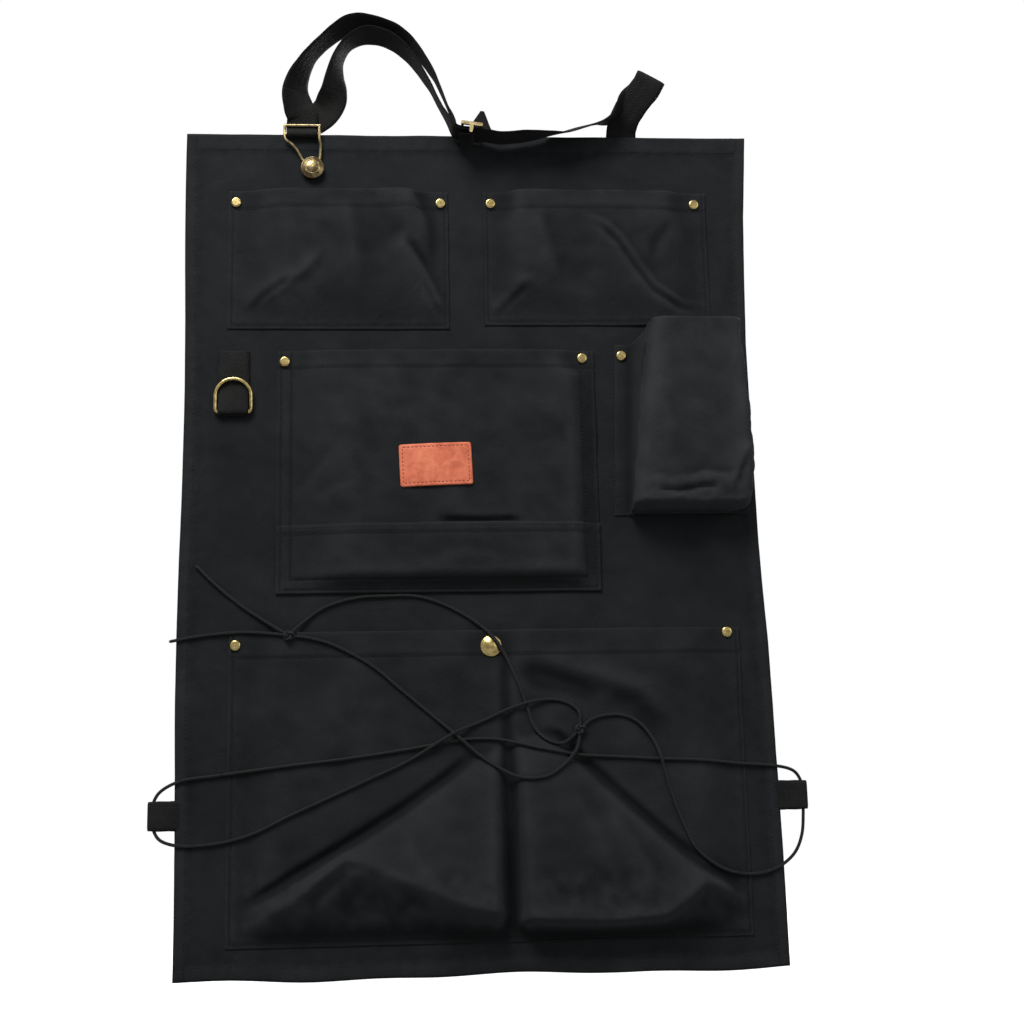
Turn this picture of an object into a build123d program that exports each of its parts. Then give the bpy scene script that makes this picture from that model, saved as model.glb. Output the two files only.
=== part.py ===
from build123d import *
import math
import os

# A rectangular canvas work apron. Millimetres. +X is to the wearer's left, +Y points out of the
# back and +Z up to the neck. The origin is on the back plane, in the middle of the top hem.

# Cloth panel
panel_width = 460.0
panel_height = 670.0
cloth = 0.8
hem_layers = 3
side_hem = 10.0
top_hem = 14.0
bottom_hem = 12.0
panel_corner = 2.0

# Patch pockets: (left, right, bottom, mouth) measured from the middle of the panel
layer_gap = 0.1
top_left_pocket_box = (-197.0, -19.0, 167.0, 285.0)
top_right_pocket_box = (9.0, 194.0, 170.0, 285.0)
center_pocket_box = (-157.0, 97.0, -46.0, 149.0)
center_low_pocket_mouth = 7.0
lower_pocket_box = (-192.0, 204.0, -312.0, -77.0)
pocket_seam = 13.0
lower_pocket_right_seam = 20.0
divider_left = -1.0
divider_right = 22.0
arch_power = 0.6
arch_steps = (0.06, 0.2, 0.5, 0.8, 0.94)
seam_bulge = 0.3

# Bottle pocket
bottle_depth = 33.0
bottle_seam = 12.0

# Rivets, tacks and the button
rivet_cap_radius = 4.25
rivet_cap_rise = 2.0
rivet_post_radius = 1.2
rivet_back_radius = 3.5
rivet_back_thick = 0.6
pin_clearance = 0.05
tack_cap_radius = 8.25
tack_cap_rise = 3.4
button_place = (-129.5, 304.5)
button_radius = 9.5
button_neck_radius = 4.0
button_neck_rise = 3.8
button_cap_rise = 4.0

# Webbing
webbing_width = 25.0
webbing_thick = 1.5
running_gap = 0.3

# D-ring and its tab
ring_wire = 1.5
ring_inside = 25.0
ring_bar_height = 98.0
ring_arc_height = 111.0
ring_tilt = 4.5
tab_center = -191.0
tab_width = 24.0
tab_top = 149.0
tab_sewn = 122.0

# Buckle
buckle_wire = 1.2
buckle_center = -138.0
buckle_half_width = 14.0
buckle_bar_height = 333.5
buckle_top_bar_height = 341.0
buckle_bar_out = 6.5
buckle_neck_out = 3.9

# Slider
slider_length = 18.0
slider_slope = -8.0
slider_place = (0.0, 330.0)
slider_rail = 2.0
slider_bar_wire = 1.2

# Side loops
loop_width = 22.0
loop_start = 233.0
loop_end = 250.5
loop_gap = 4.0
loop_back = 0.6
left_loop_height = -214.0
right_loop_height = -207.5

# Elastic cord
cord_radius = 1.25
cord_clearance = 1.4
knot_radius = 4.0

# Leather label
label_width = 57.0
label_height = 34.0
label_thick = 2.0
label_place = (-32.0, 53.0)
label_turn = 2.3

panel_front = 2 * cloth
hem_front = hem_layers * cloth
seam_back = panel_front + layer_gap
seam_front = seam_back + cloth
middle_drop = panel_height / 2 - top_hem / 2
front = Plane(origin=(0, 0, -middle_drop), x_dir=(1, 0, 0), z_dir=(0, -1, 0))

os.makedirs("parts", exist_ok=True)


def place(x, y, out):
    """A point x to the right and y above the panel's middle, out in front of the back plane."""
    return Vector(x, -out, y - middle_drop)


def level(y):
    """A horizontal plane, y above the panel's middle."""
    return Plane.XY.offset(y - middle_drop)


def save(part, label):
    part.label = label
    export_step(part, f"parts/{label}.step")


def between(stations, y):
    """Reads a bulge from (height, bulge) stations."""
    if y <= stations[0][0]:
        return stations[0][1]
    for (low, start), (high, end) in zip(stations, stations[1:]):
        if y <= high:
            return start + (end - start) * (y - low) / (high - low)
    return stations[-1][1]


def arch(share):
    """How far the cloth stands out at a share of the way across a pocket."""
    return math.sin(math.pi * min(max(share, 0.0), 1.0)) ** arch_power


# ---------------------------------------------------------------- panel

fastenings = (
    (-191.0, 275.0),
    (-25.5, 275.0),
    (15.5, 275.0),
    (184.0, 275.0),
    (-151.0, 140.0),
    (87.0, 142.5),
    (119.0, 144.5),
    (212.0, 144.5),
    (-187.0, -86.5),
    (194.0, -81.0),
)
tack_place = (9.0, -89.5)
post_hole = rivet_post_radius + pin_clearance

with BuildPart() as main_panel:
    with BuildSketch(front):
        RectangleRounded(panel_width, panel_height, panel_corner)
    extrude(amount=hem_front)
    field_height = panel_height - top_hem - bottom_hem
    field_middle = (bottom_hem - top_hem) / 2
    for face_out in (0, panel_front):
        with BuildSketch(front.offset(face_out)):
            with Locations((0, field_middle)):
                Rectangle(panel_width - 2 * side_hem, field_height)
        extrude(amount=cloth, mode=Mode.SUBTRACT)
    with BuildSketch(front):
        with Locations(*fastenings, tack_place, button_place):
            Circle(post_hole)
    extrude(amount=hem_front, mode=Mode.SUBTRACT)
save(main_panel.part, "main_panel")


# ---------------------------------------------------------------- patch pockets


def pocket(box, arches, stations, back=seam_back, holes=()):
    """A patch pocket, open at the mouth: flat seams with the cloth standing out between them."""
    left, right = box[:2]
    skin = back + cloth
    with BuildPart() as shell:
        for height, bulge in stations:
            with BuildSketch(level(height)):
                with BuildLine():
                    Line((left, -back), (left, -skin))
                    corner = (left, -skin)
                    for start, end in arches:
                        span = end - start
                        Line(corner, (start, -skin))
                        rise = [(start + s * span, -skin - bulge * arch(s)) for s in arch_steps]
                        Spline((start, -skin), *rise, (end, -skin))
                        corner = (end, -skin)
                    Line(corner, (right, -skin))
                    Line((right, -skin), (right, -back))
                    corner = (right, -back)
                    for outer_start, outer_end in reversed(arches):
                        start, end = outer_start + cloth, outer_end - cloth
                        span = end - start
                        Line(corner, (end, -back))
                        fall = [(start + s * span, -back - bulge * arch(s)) for s in arch_steps]
                        Spline((end, -back), *reversed(fall), (start, -back))
                        corner = (start, -back)
                    Line(corner, (left, -back))
                make_face()
        loft(ruled=True)
        if holes:
            with BuildSketch(front.offset(back - layer_gap)):
                with Locations(*holes):
                    Circle(post_hole)
            extrude(amount=2 * cloth, mode=Mode.SUBTRACT)
    return shell.part


def seams_in(box, left_seam=pocket_seam, right_seam=pocket_seam):
    return (box[0] + left_seam, box[1] - right_seam)


def upper_stations(box, mouth_bulge):
    bottom, mouth = box[2], box[3]
    return ((bottom, seam_bulge), (bottom + 30, 4.5), (mouth - 30, 7.0), (mouth, mouth_bulge))


top_left_arches = (seams_in(top_left_pocket_box),)
top_right_arches = (seams_in(top_right_pocket_box, pocket_seam, 17.0),)
top_left_stations = upper_stations(top_left_pocket_box, 9.0)
top_right_stations = upper_stations(top_right_pocket_box, 8.0)
save(
    pocket(top_left_pocket_box, top_left_arches, top_left_stations, holes=fastenings[0:2]),
    "top_left_pocket",
)
save(
    pocket(top_right_pocket_box, top_right_arches, top_right_stations, holes=fastenings[2:4]),
    "top_right_pocket",
)

center_arches = (seams_in(center_pocket_box, pocket_seam, 16.0),)
center_bottom, center_mouth = center_pocket_box[2:]
center_stations = (
    (center_bottom, seam_bulge),
    (center_bottom + 8, 9.0),
    (center_mouth - 60, 9.0),
    (center_mouth, 7.5),
)
save(
    pocket(center_pocket_box, center_arches, center_stations, holes=fastenings[4:6]),
    "center_pocket",
)

# The low pocket lies over the foot of the centre pocket, so it stands out a little further.
low_box = (center_pocket_box[0], center_pocket_box[1], center_bottom - 1.5, center_low_pocket_mouth)
low_arch = center_arches[0]
low_arches = ((low_arch[0] - 1.2 * cloth, low_arch[1] + 1.2 * cloth),)
low_stations = (
    (low_box[2], seam_bulge),
    (center_bottom + 5.5, 9.8),
    (center_low_pocket_mouth, 10.2),
)
save(
    pocket(low_box, low_arches, low_stations, back=seam_front + layer_gap),
    "center_low_pocket",
)

lower_arches = (
    (lower_pocket_box[0] + pocket_seam, divider_left),
    (divider_right, lower_pocket_box[1] - lower_pocket_right_seam),
)
lower_bottom, lower_mouth = lower_pocket_box[2:]
lower_stations = (
    (lower_bottom, seam_bulge),
    (lower_bottom + 14, 14.0),
    (lower_bottom + 45, 22.0),
    (lower_mouth - 60, 12.0),
    (lower_mouth, 7.5),
)
save(
    pocket(
        lower_pocket_box,
        lower_arches,
        lower_stations,
        holes=(fastenings[8], fastenings[9], tack_place),
    ),
    "lower_pocket",
)


def cloth_height(x, y):
    """How far the cloth stands out in front of the back plane, where the cord lies on it."""
    height = hem_front
    if lower_bottom - 4 < y < lower_mouth + 4:
        height = seam_front
        for start, end in lower_arches:
            share = (x - start) / (end - start)
            height = max(height, seam_front + between(lower_stations, y) * arch(share))
    return height


# ---------------------------------------------------------------- leather label

label_out = seam_front + 9.0 + 2 * layer_gap
with BuildPart() as leather_label:
    with BuildSketch(front.offset(label_out)):
        with Locations(Location((*label_place, 0), (0, 0, label_turn))):
            RectangleRounded(label_width, label_height, 1.5)
    extrude(amount=label_thick)
save(leather_label.part, "leather_label")


# ---------------------------------------------------------------- bottle pocket

bottle_base = ((127, 154), (122, 14), (205, 14), (206, 154))
bottle_face = ((140, 168), (119, 19), (207, 19), (218, 56), (212, 167))
bottle_wall_foot = seam_front + layer_gap
bottle_wall_top = bottle_depth - layer_gap

with BuildPart() as bottle_pocket_front:
    with BuildSketch(front.offset(bottle_depth)):
        with BuildLine():
            Polyline(*bottle_face, close=True)
        make_face()
    extrude(amount=cloth)
save(bottle_pocket_front.part, "bottle_pocket_front")


def strip_outline(corners, thick):
    """The outline of a band of cloth down the left, along the foot and up the right of a pocket."""
    (left_top, left_foot, right_foot, right_top) = corners
    inner = (
        (right_top[0] - thick, right_top[1]),
        (right_foot[0] - thick, right_foot[1] + thick),
        (left_foot[0] + thick, left_foot[1] + thick),
        (left_top[0] + thick, left_top[1]),
    )
    return (*corners, *inner)


bottle_wall_edge = ((141, 167), (120.5, 20.5), (206.5, 20.5), (211, 166))
with BuildPart() as bottle_pocket_gusset:
    walls = ((bottle_wall_foot, bottle_base), (bottle_wall_top, bottle_wall_edge))
    for wall_out, corners in walls:
        with BuildSketch(front.offset(wall_out)):
            with BuildLine():
                Polyline(*strip_outline(corners, cloth), close=True)
            make_face()
    loft(ruled=True)
    with BuildSketch(front.offset(seam_back)):
        with BuildLine():
            (left_top, left_foot, right_foot, right_top) = bottle_base
            Polyline(
                (left_top[0] - bottle_seam - 2, left_top[1]),
                (left_foot[0] - bottle_seam, left_foot[1] - 4),
                (right_foot[0] + bottle_seam, right_foot[1] - 4),
                (right_top[0] + bottle_seam, right_top[1]),
                (right_top[0] - 2, right_top[1]),
                (right_foot[0] - 2, right_foot[1] + 3),
                (left_foot[0] + 3, left_foot[1] + 3),
                (left_top[0] + 2, left_top[1]),
                close=True,
            )
        make_face()
    extrude(amount=cloth + layer_gap)
    with BuildSketch(front.offset(seam_back)):
        with Locations(*fastenings[6:8]):
            Circle(post_hole)
    extrude(amount=2 * cloth, mode=Mode.SUBTRACT)
save(bottle_pocket_gusset.part, "bottle_pocket_gusset")


# ---------------------------------------------------------------- rivets and tacks

cap_base = seam_front + 2 * layer_gap


def post(radius, start, end, centers, mode=Mode.ADD):
    """Round posts, or holes, at the centres, from one distance out to another."""
    with BuildSketch(front.offset(start)) as discs:
        with Locations(*centers):
            Circle(radius)
    extrude(discs.sketch, amount=end - start, mode=mode)


with BuildPart() as rivet_caps:
    post(rivet_post_radius, layer_gap, cap_base, fastenings)
    post(rivet_cap_radius, cap_base, cap_base + rivet_cap_rise, fastenings)
    rim = rivet_caps.edges().filter_by(GeomType.CIRCLE)
    outer = rim.filter_by(lambda e: e.radius > rivet_post_radius + 1)
    fillet(outer.group_by(Axis.Y)[0], rivet_cap_rise * 0.7)
save(rivet_caps.part, "rivet_caps")


with BuildPart() as rivet_backs:
    post(rivet_back_radius, layer_gap, layer_gap + rivet_back_thick, fastenings)
    post(post_hole, layer_gap, layer_gap + rivet_back_thick, fastenings, Mode.SUBTRACT)
save(rivet_backs.part, "rivet_backs")


def domed_cap(cap_radius, base, rise, neck_radius, neck_start, center):
    """A turned cap on a neck: a shallow dome with a rounded rim."""
    x, y = center
    rim = cap_radius - 0.6
    shoulder = base + rise * 0.35
    dome = base + rise - shoulder
    sphere = (rim**2 + dome**2) / (2 * dome)
    crown = base + rise - sphere + math.sqrt(sphere**2 - (rim / 2) ** 2)
    with BuildSketch(Plane(origin=place(x, y, 0), x_dir=(1, 0, 0), z_dir=(0, 0, 1))) as profile:
        with BuildLine():
            Line((0, -neck_start), (neck_radius, -neck_start))
            Line((neck_radius, -neck_start), (neck_radius, -base))
            Line((neck_radius, -base), (rim, -base))
            ThreePointArc((rim, -base), (cap_radius, -(base + shoulder) / 2), (rim, -shoulder))
            ThreePointArc((rim, -shoulder), (rim / 2, -crown), (0, -(base + rise)))
            Line((0, -(base + rise)), (0, -neck_start))
        make_face()
    revolve(profile.sketch, axis=Axis(place(x, y, 0), (0, 1, 0)))


with BuildPart() as center_tack_cap:
    domed_cap(tack_cap_radius, cap_base, tack_cap_rise, 2.4, cap_base - layer_gap, tack_place)
    post(post_hole, cap_base - layer_gap, cap_base + 1.7, (tack_place,), Mode.SUBTRACT)
save(center_tack_cap.part, "center_tack_cap")


def nail(center, tip):
    """A tack nail: a flat head behind the cloth and a shank that goes up into the cap."""
    post(rivet_back_radius + 1, layer_gap, layer_gap + rivet_back_thick, (center,))
    post(rivet_post_radius, layer_gap, tip, (center,))


with BuildPart() as center_tack_nail:
    nail(tack_place, cap_base + 1.2)
save(center_tack_nail.part, "center_tack_nail")

button_foot = panel_front + layer_gap
button_base = button_foot + button_neck_rise
button_top = button_base + button_cap_rise
with BuildPart() as tack_button:
    domed_cap(
        button_radius, button_base, button_cap_rise, button_neck_radius, button_foot, button_place
    )
    with BuildSketch(front.offset(button_top - 1.2)):
        with Locations(button_place):
            Circle(button_radius * 0.62)
            Circle(button_radius * 0.52, mode=Mode.SUBTRACT)
    extrude(amount=1.2, mode=Mode.SUBTRACT)
    post(post_hole, button_foot, button_foot + 3.6, (button_place,), Mode.SUBTRACT)
save(tack_button.part, "tack_button")

with BuildPart() as tack_button_nail:
    nail(button_place, button_foot + 3.0)
save(tack_button_nail.part, "tack_button_nail")


# ---------------------------------------------------------------- D-ring and tab

bar_out = seam_back + webbing_thick + running_gap + ring_wire
tab_inner = ring_wire + running_gap
tab_outer = tab_inner + webbing_thick
tab_plane = Plane(origin=place(tab_center - tab_width / 2, 0, 0), x_dir=(0, 0, 1), z_dir=(1, 0, 0))

with BuildPart() as d_ring_tab:
    with BuildSketch(tab_plane):
        with BuildLine():
            back_face = seam_back
            front_face = bar_out + tab_outer
            sewn_front = seam_back + 2 * webbing_thick
            Line((tab_top, back_face), (ring_bar_height, back_face))
            ThreePointArc(
                (ring_bar_height, back_face),
                (ring_bar_height - tab_outer, bar_out),
                (ring_bar_height, front_face),
            )
            Line((ring_bar_height, front_face), (tab_sewn, sewn_front))
            Line((tab_sewn, sewn_front), (tab_top, sewn_front))
            Line((tab_top, sewn_front), (tab_top, back_face))
        make_face()
        with BuildLine():
            inner_back = seam_back + webbing_thick
            inner_front = bar_out + tab_inner
            Line((tab_sewn - 6, inner_back), (ring_bar_height, inner_back))
            ThreePointArc(
                (ring_bar_height, inner_back),
                (ring_bar_height - tab_inner, bar_out),
                (ring_bar_height, inner_front),
            )
            Line((ring_bar_height, inner_front), (tab_sewn - 6, inner_back))
        make_face(mode=Mode.SUBTRACT)
    extrude(amount=tab_width)
save(d_ring_tab.part, "d_ring_tab")

ring_half = ring_inside / 2 + ring_wire
ring_plane = Plane(
    origin=place(tab_center, ring_bar_height, bar_out),
    x_dir=(1, 0, 0),
    z_dir=(0, -math.cos(math.radians(ring_tilt)), -math.sin(math.radians(ring_tilt))),
)
with BuildPart() as d_ring:
    with BuildLine(ring_plane) as ring_path:
        side_rise = ring_arc_height - ring_bar_height
        corner = 3.0
        Line((0, 0), (ring_half - corner, 0))
        RadiusArc((ring_half - corner, 0), (ring_half, corner), -corner)
        Line((ring_half, corner), (ring_half, side_rise))
        ThreePointArc((ring_half, side_rise), (0, side_rise + ring_half), (-ring_half, side_rise))
        Line((-ring_half, side_rise), (-ring_half, corner))
        RadiusArc((-ring_half, corner), (-ring_half + corner, 0), -corner)
        Line((-ring_half + corner, 0), (0, 0))
    with BuildSketch(Plane(origin=ring_path.wire() @ 0, z_dir=ring_path.wire() % 0)):
        Circle(ring_wire)
    sweep()
save(d_ring.part, "d_ring")


# ---------------------------------------------------------------- buckle

neck_arc = button_neck_radius + buckle_wire + 0.25
left_x = buckle_center - buckle_half_width
right_x = buckle_center + buckle_half_width
button_x, button_y = button_place


def on_buckle(x, y):
    """A point in the plane of the buckle's two bars."""
    return place(x, y, buckle_bar_out)


with BuildPart() as strap_buckle:
    with BuildLine() as hook_path:
        Line(
            on_buckle(left_x, buckle_top_bar_height),
            on_buckle(left_x, buckle_bar_height - 2),
        )
        Spline(
            on_buckle(left_x, buckle_bar_height - 2),
            place(left_x + 3.5, 326.5, buckle_bar_out - 0.4),
            place(button_x - 12.5, 320, buckle_neck_out + 0.9),
            place(button_x - 8.0, 312, buckle_neck_out + 0.05),
            place(button_x - neck_arc, button_y, buckle_neck_out),
            tangents=((0, 0, -1), (0, 0, -1)),
        )
        ThreePointArc(
            place(button_x - neck_arc, button_y, buckle_neck_out),
            place(button_x, button_y - neck_arc, buckle_neck_out),
            place(button_x + neck_arc, button_y, buckle_neck_out),
        )
        Spline(
            place(button_x + neck_arc, button_y, buckle_neck_out),
            place(button_x + 5.8, 312, buckle_neck_out + 0.05),
            place(button_x + 6.4, 320, buckle_neck_out + 0.9),
            place(button_x + 6.2, 326.5, buckle_bar_out - 0.4),
            on_buckle(right_x, buckle_bar_height - 2),
            tangents=((0, 0, 1), (0, 0, 1)),
        )
        Line(
            on_buckle(right_x, buckle_bar_height - 2),
            on_buckle(right_x, buckle_top_bar_height),
        )
    with BuildSketch(Plane(origin=hook_path.wire() @ 0, z_dir=hook_path.wire() % 0)):
        Circle(buckle_wire)
    sweep()
    for bar_height in (buckle_bar_height, buckle_top_bar_height):
        bar_start = on_buckle(left_x - buckle_wire * 0.8, bar_height)
        with BuildSketch(Plane(origin=bar_start, z_dir=(1, 0, 0))):
            Circle(buckle_wire + 0.06)
        extrude(amount=2 * (buckle_half_width + buckle_wire * 0.8))
save(strap_buckle.part, "strap_buckle")


# ---------------------------------------------------------------- webbing round the buckle bar

turn_radius = buckle_wire + 0.2 + webbing_thick / 2
turn_plane = Plane(
    origin=place(buckle_center - webbing_width / 2, 0, 0), x_dir=(0, 0, 1), z_dir=(1, 0, 0)
)
turn_end = 343.0
outer_layer_out = 4.3
inner_layer_out = 2.3

with BuildPart() as strap_turn:
    with BuildSketch(turn_plane):
        with BuildLine() as turn_line:
            Spline(
                (turn_end, outer_layer_out),
                (340.8, outer_layer_out),
                (337.2, buckle_bar_out + 0.2),
                (buckle_bar_height, buckle_bar_out + turn_radius),
                tangents=((-1, 0), (-1, 0.1)),
            )
            ThreePointArc(
                (buckle_bar_height, buckle_bar_out + turn_radius),
                (buckle_bar_height - turn_radius, buckle_bar_out),
                (buckle_bar_height, buckle_bar_out - turn_radius),
            )
            Spline(
                (buckle_bar_height, buckle_bar_out - turn_radius),
                (338.5, inner_layer_out + 0.3),
                (turn_end, inner_layer_out),
                tangents=((1, 0), (1, 0)),
            )
        trace(line_width=webbing_thick)
    extrude(amount=webbing_width)
save(strap_turn.part, "strap_turn")


# ---------------------------------------------------------------- neck strap

# Each station is (x, y, out, lean): a point on the webbing's middle line, and how far its width
# leans from straight out of the panel (0) towards flat on it (90), to the left of its travel.
curve_steps = 3
half_web = webbing_width / 2
on_edge = half_web + 0.8
slider_out = hem_front + slider_rail + 2 * running_gap + half_web
slider_x, slider_y = slider_place
slope = math.radians(slider_slope)
slide_way = Vector(math.cos(slope), 0, math.sin(slope))


def on_slide(distance):
    """The webbing's straight stretch through the slider."""
    x = slider_x + distance * math.cos(slope)
    y = slider_y + distance * math.sin(slope)
    return (x, y, slider_out, 0)


def width_direction(along, lean):
    """The way the webbing's width points, square to its travel."""
    out_way = Vector(0, -1, 0)
    sideways = out_way.cross(along).normalized()
    turn = math.radians(lean)
    width_way = out_way * math.cos(turn) + sideways * math.sin(turn)
    return width_way - along * width_way.dot(along)


def curve_point(before, start, end, after, share):
    """A point on the smooth curve through four points, between the middle two."""
    straight = (end - start) * share
    bow_start = (end - before) * 0.5 - (end - start)
    bow_end = (end - start) - (after - start) * 0.5
    ease = share * (1 - share)
    return start + straight + bow_start * (ease * (1 - share)) + bow_end * (ease * share)


def smoothed(knots):
    """More vectors between the given ones, along a smooth curve through them."""
    dense = []
    last = len(knots) - 1
    for i in range(last):
        around = [knots[min(max(i + k, 0), last)] for k in (-1, 0, 1, 2)]
        for step in range(curve_steps):
            dense.append(curve_point(*around, step / curve_steps))
    dense.append(knots[-1])
    return dense


def travel(points, i):
    """The direction of travel at one of a run of points."""
    return (points[min(i + 1, len(points) - 1)] - points[max(i - 1, 0)]).normalized()


def ribbon(knots):
    """Webbing through (point, width direction) knots, square to its travel all along."""
    points = smoothed([knot[0] for knot in knots])
    width_ways = smoothed([knot[1] for knot in knots])
    sections = []
    for i, (point, width_way) in enumerate(zip(points, width_ways)):
        along = travel(points, i)
        width_way = width_way - along * width_way.dot(along)
        with BuildSketch(Plane(origin=point, x_dir=width_way, z_dir=along)) as section:
            Rectangle(webbing_width, webbing_thick)
        sections.append(section.sketch)
    loft(sections, ruled=True)


def knots_through(stations):
    """Turns (x, y, out, lean) stations into points and width directions."""
    points = [place(x, y, out) for x, y, out, lean in stations]
    leans = [lean for x, y, out, lean in stations]
    return [(point, width_direction(travel(points, i), leans[i])) for i, point in enumerate(points)]


front_strand = (
    (126, 336.3, 1.6, 90),
    (126.3, 341, 3.6, 90),
    (127.5, 349, 8.5, 90),
    (131, 358, 14, 90),
    (137, 369, 20, 90),
    (144, 378.5, 25, 90),
)
fold_middle = (147.5, 384.5, 23.5)
back_run = (
    (144, 379.5, 20.8, -90),
    (138, 373, 15, -85),
    (129.5, 364, 9.5, -68),
    (119, 354.5, 10.3, -42),
    (108, 348, 12.5, -12),
    (92, 341.5, on_edge + 0.5, 4),
    (67, 334.5, slider_out - 1.5, 2),
    (45, 328, slider_out, 0),
)
arch_strand = (
    (-12.6, 333.2, slider_out, 0),
    (-13.6, 337.5, slider_out, 0),
    (-17.4, 350.7, on_edge + 1, 8),
    (-24.4, 370.5, on_edge, 6),
    (-32.3, 388.3, on_edge, 2),
    (-49, 412, on_edge, -5),
    (-70, 424.5, on_edge + 1, -12),
    (-98.6, 427.5, on_edge + 1, -15),
    (-125, 407, on_edge, 0),
    (-138.5, 385, on_edge, -25),
    (-143, 368, 12.5, -52),
    (-140.5, 356, 8.5, -84),
    (buckle_center, 350, 6.2, -90),
    (buckle_center, turn_end + 1.5, outer_layer_out, -90),
)
front_knots = knots_through(front_strand)
fold_knot = (place(*fold_middle), front_knots[-1][1])
slide_stations = (on_slide(26), on_slide(18), on_slide(9), on_slide(0), on_slide(-9))
rest_of_strap = knots_through((*back_run, *slide_stations, *arch_strand))
with BuildPart() as neck_strap:
    strap_knots = [*front_knots, fold_knot, *rest_of_strap]
    ribbon(strap_knots[::-1])
save(neck_strap.part, "neck_strap")

return_strand = (
    (-13.4, 330.6, slider_out, 0),
    (-16.4, 336.5, slider_out, 0),
    (-20.8, 347, on_edge + 1.5, 4),
    (-27, 360.5, on_edge, 4),
    (-34.5, 376.5, on_edge, 2),
    (-50, 400.5, on_edge, -4),
    (-66, 414.5, on_edge, -8),
    (-84, 419, on_edge, -10),
    (-98, 413, on_edge, -5),
    (-106.5, 401, on_edge, -12),
    (-110, 386, on_edge, -28),
    (-111.5, 371, 11.0, -52),
    (-114.5, 361, 7.0, -74),
    (-117.5, 354.5, 4.4, -88),
    (-118.5, 349.0, 3.0, -90),
)
with BuildPart() as strap_return:
    ribbon(knots_through(return_strand))
save(strap_return.part, "strap_return")


# ---------------------------------------------------------------- slider and the strap's end

slider_plane = Plane(
    origin=place(slider_x, slider_y, 0), x_dir=tuple(slide_way), z_dir=(0, -1, 0)
)
keeper_side = webbing_thick / 2 + running_gap + slider_bar_wire
bar_side = -(1.5 * webbing_thick + 2 * running_gap + slider_bar_wire)
end_radius = slider_bar_wire + running_gap + webbing_thick / 2
web_low = slider_out - half_web
web_high = slider_out + half_web
rail_low = web_low - running_gap - slider_rail
rail_high = web_high + running_gap
keeper_reach = slider_length / 2 - slider_bar_wire - 0.2
rail_width = 2 * slider_bar_wire + 0.4

with BuildPart() as strap_slider:
    for rail_out in (rail_low, rail_high):
        with BuildSketch(slider_plane.offset(rail_out)):
            with Locations((0, keeper_side)):
                RectangleRounded(slider_length, rail_width, slider_bar_wire)
            with Locations((0, (keeper_side + bar_side) / 2)):
                RectangleRounded(rail_width, keeper_side - bar_side + rail_width, slider_bar_wire)
        extrude(amount=slider_rail)
    with BuildSketch(slider_plane.offset(rail_low + slider_rail)):
        with Locations((-keeper_reach, keeper_side), (keeper_reach, keeper_side), (0, bar_side)):
            Circle(slider_bar_wire)
    extrude(amount=rail_high - rail_low - slider_rail)
save(strap_slider.part, "strap_slider")

with BuildPart() as strap_end_tab:
    with BuildSketch(slider_plane.offset(web_low)):
        with BuildLine():
            Line((-9, bar_side + end_radius), (0, bar_side + end_radius))
            ThreePointArc(
                (0, bar_side + end_radius), (end_radius, bar_side), (0, bar_side - end_radius)
            )
            Line((0, bar_side - end_radius), (-9, bar_side - end_radius))
        trace(line_width=webbing_thick)
    extrude(amount=webbing_width)
save(strap_end_tab.part, "strap_end_tab")


# ---------------------------------------------------------------- side loops

def side_loop(height, side):
    """A length of webbing folded in two at the panel's edge, closed there and open further out."""
    skin = webbing_thick
    front_face = loop_back + 2 * skin + loop_gap
    middle = (loop_back + front_face) / 2
    bend = middle - loop_back
    bend_x = loop_end - bend
    closed = loop_start + 2.5
    closed_front = loop_back + 2 * skin
    origin = place(0, height - loop_width / 2, 0)
    with BuildPart() as loop:
        with BuildSketch(Plane(origin=origin, x_dir=(side, 0, 0), z_dir=(0, 0, side))):
            flip = -side
            with BuildLine():
                Line((loop_start, loop_back * flip), (bend_x, loop_back * flip))
                tip = (loop_end, middle * flip)
                ThreePointArc((bend_x, loop_back * flip), tip, (bend_x, front_face * flip))
                Line((bend_x, front_face * flip), (closed, closed_front * flip))
                Line((closed, closed_front * flip), (loop_start, closed_front * flip))
                Line((loop_start, closed_front * flip), (loop_start, loop_back * flip))
            make_face()
            with BuildLine():
                inner_back = (loop_back + skin) * flip
                inner_front = (front_face - skin) * flip
                inner_tip = (loop_end - skin, middle * flip)
                Line((closed + 1.5, inner_back), (bend_x, inner_back))
                ThreePointArc((bend_x, inner_back), inner_tip, (bend_x, inner_front))
                Line((bend_x, inner_front), (closed + 1.5, inner_back))
            make_face(mode=Mode.SUBTRACT)
        extrude(amount=loop_width * side)
    return loop.part


save(side_loop(left_loop_height, -1), "left_side_loop")
save(side_loop(right_loop_height, 1), "right_side_loop")


# ---------------------------------------------------------------- elastic cord

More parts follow.
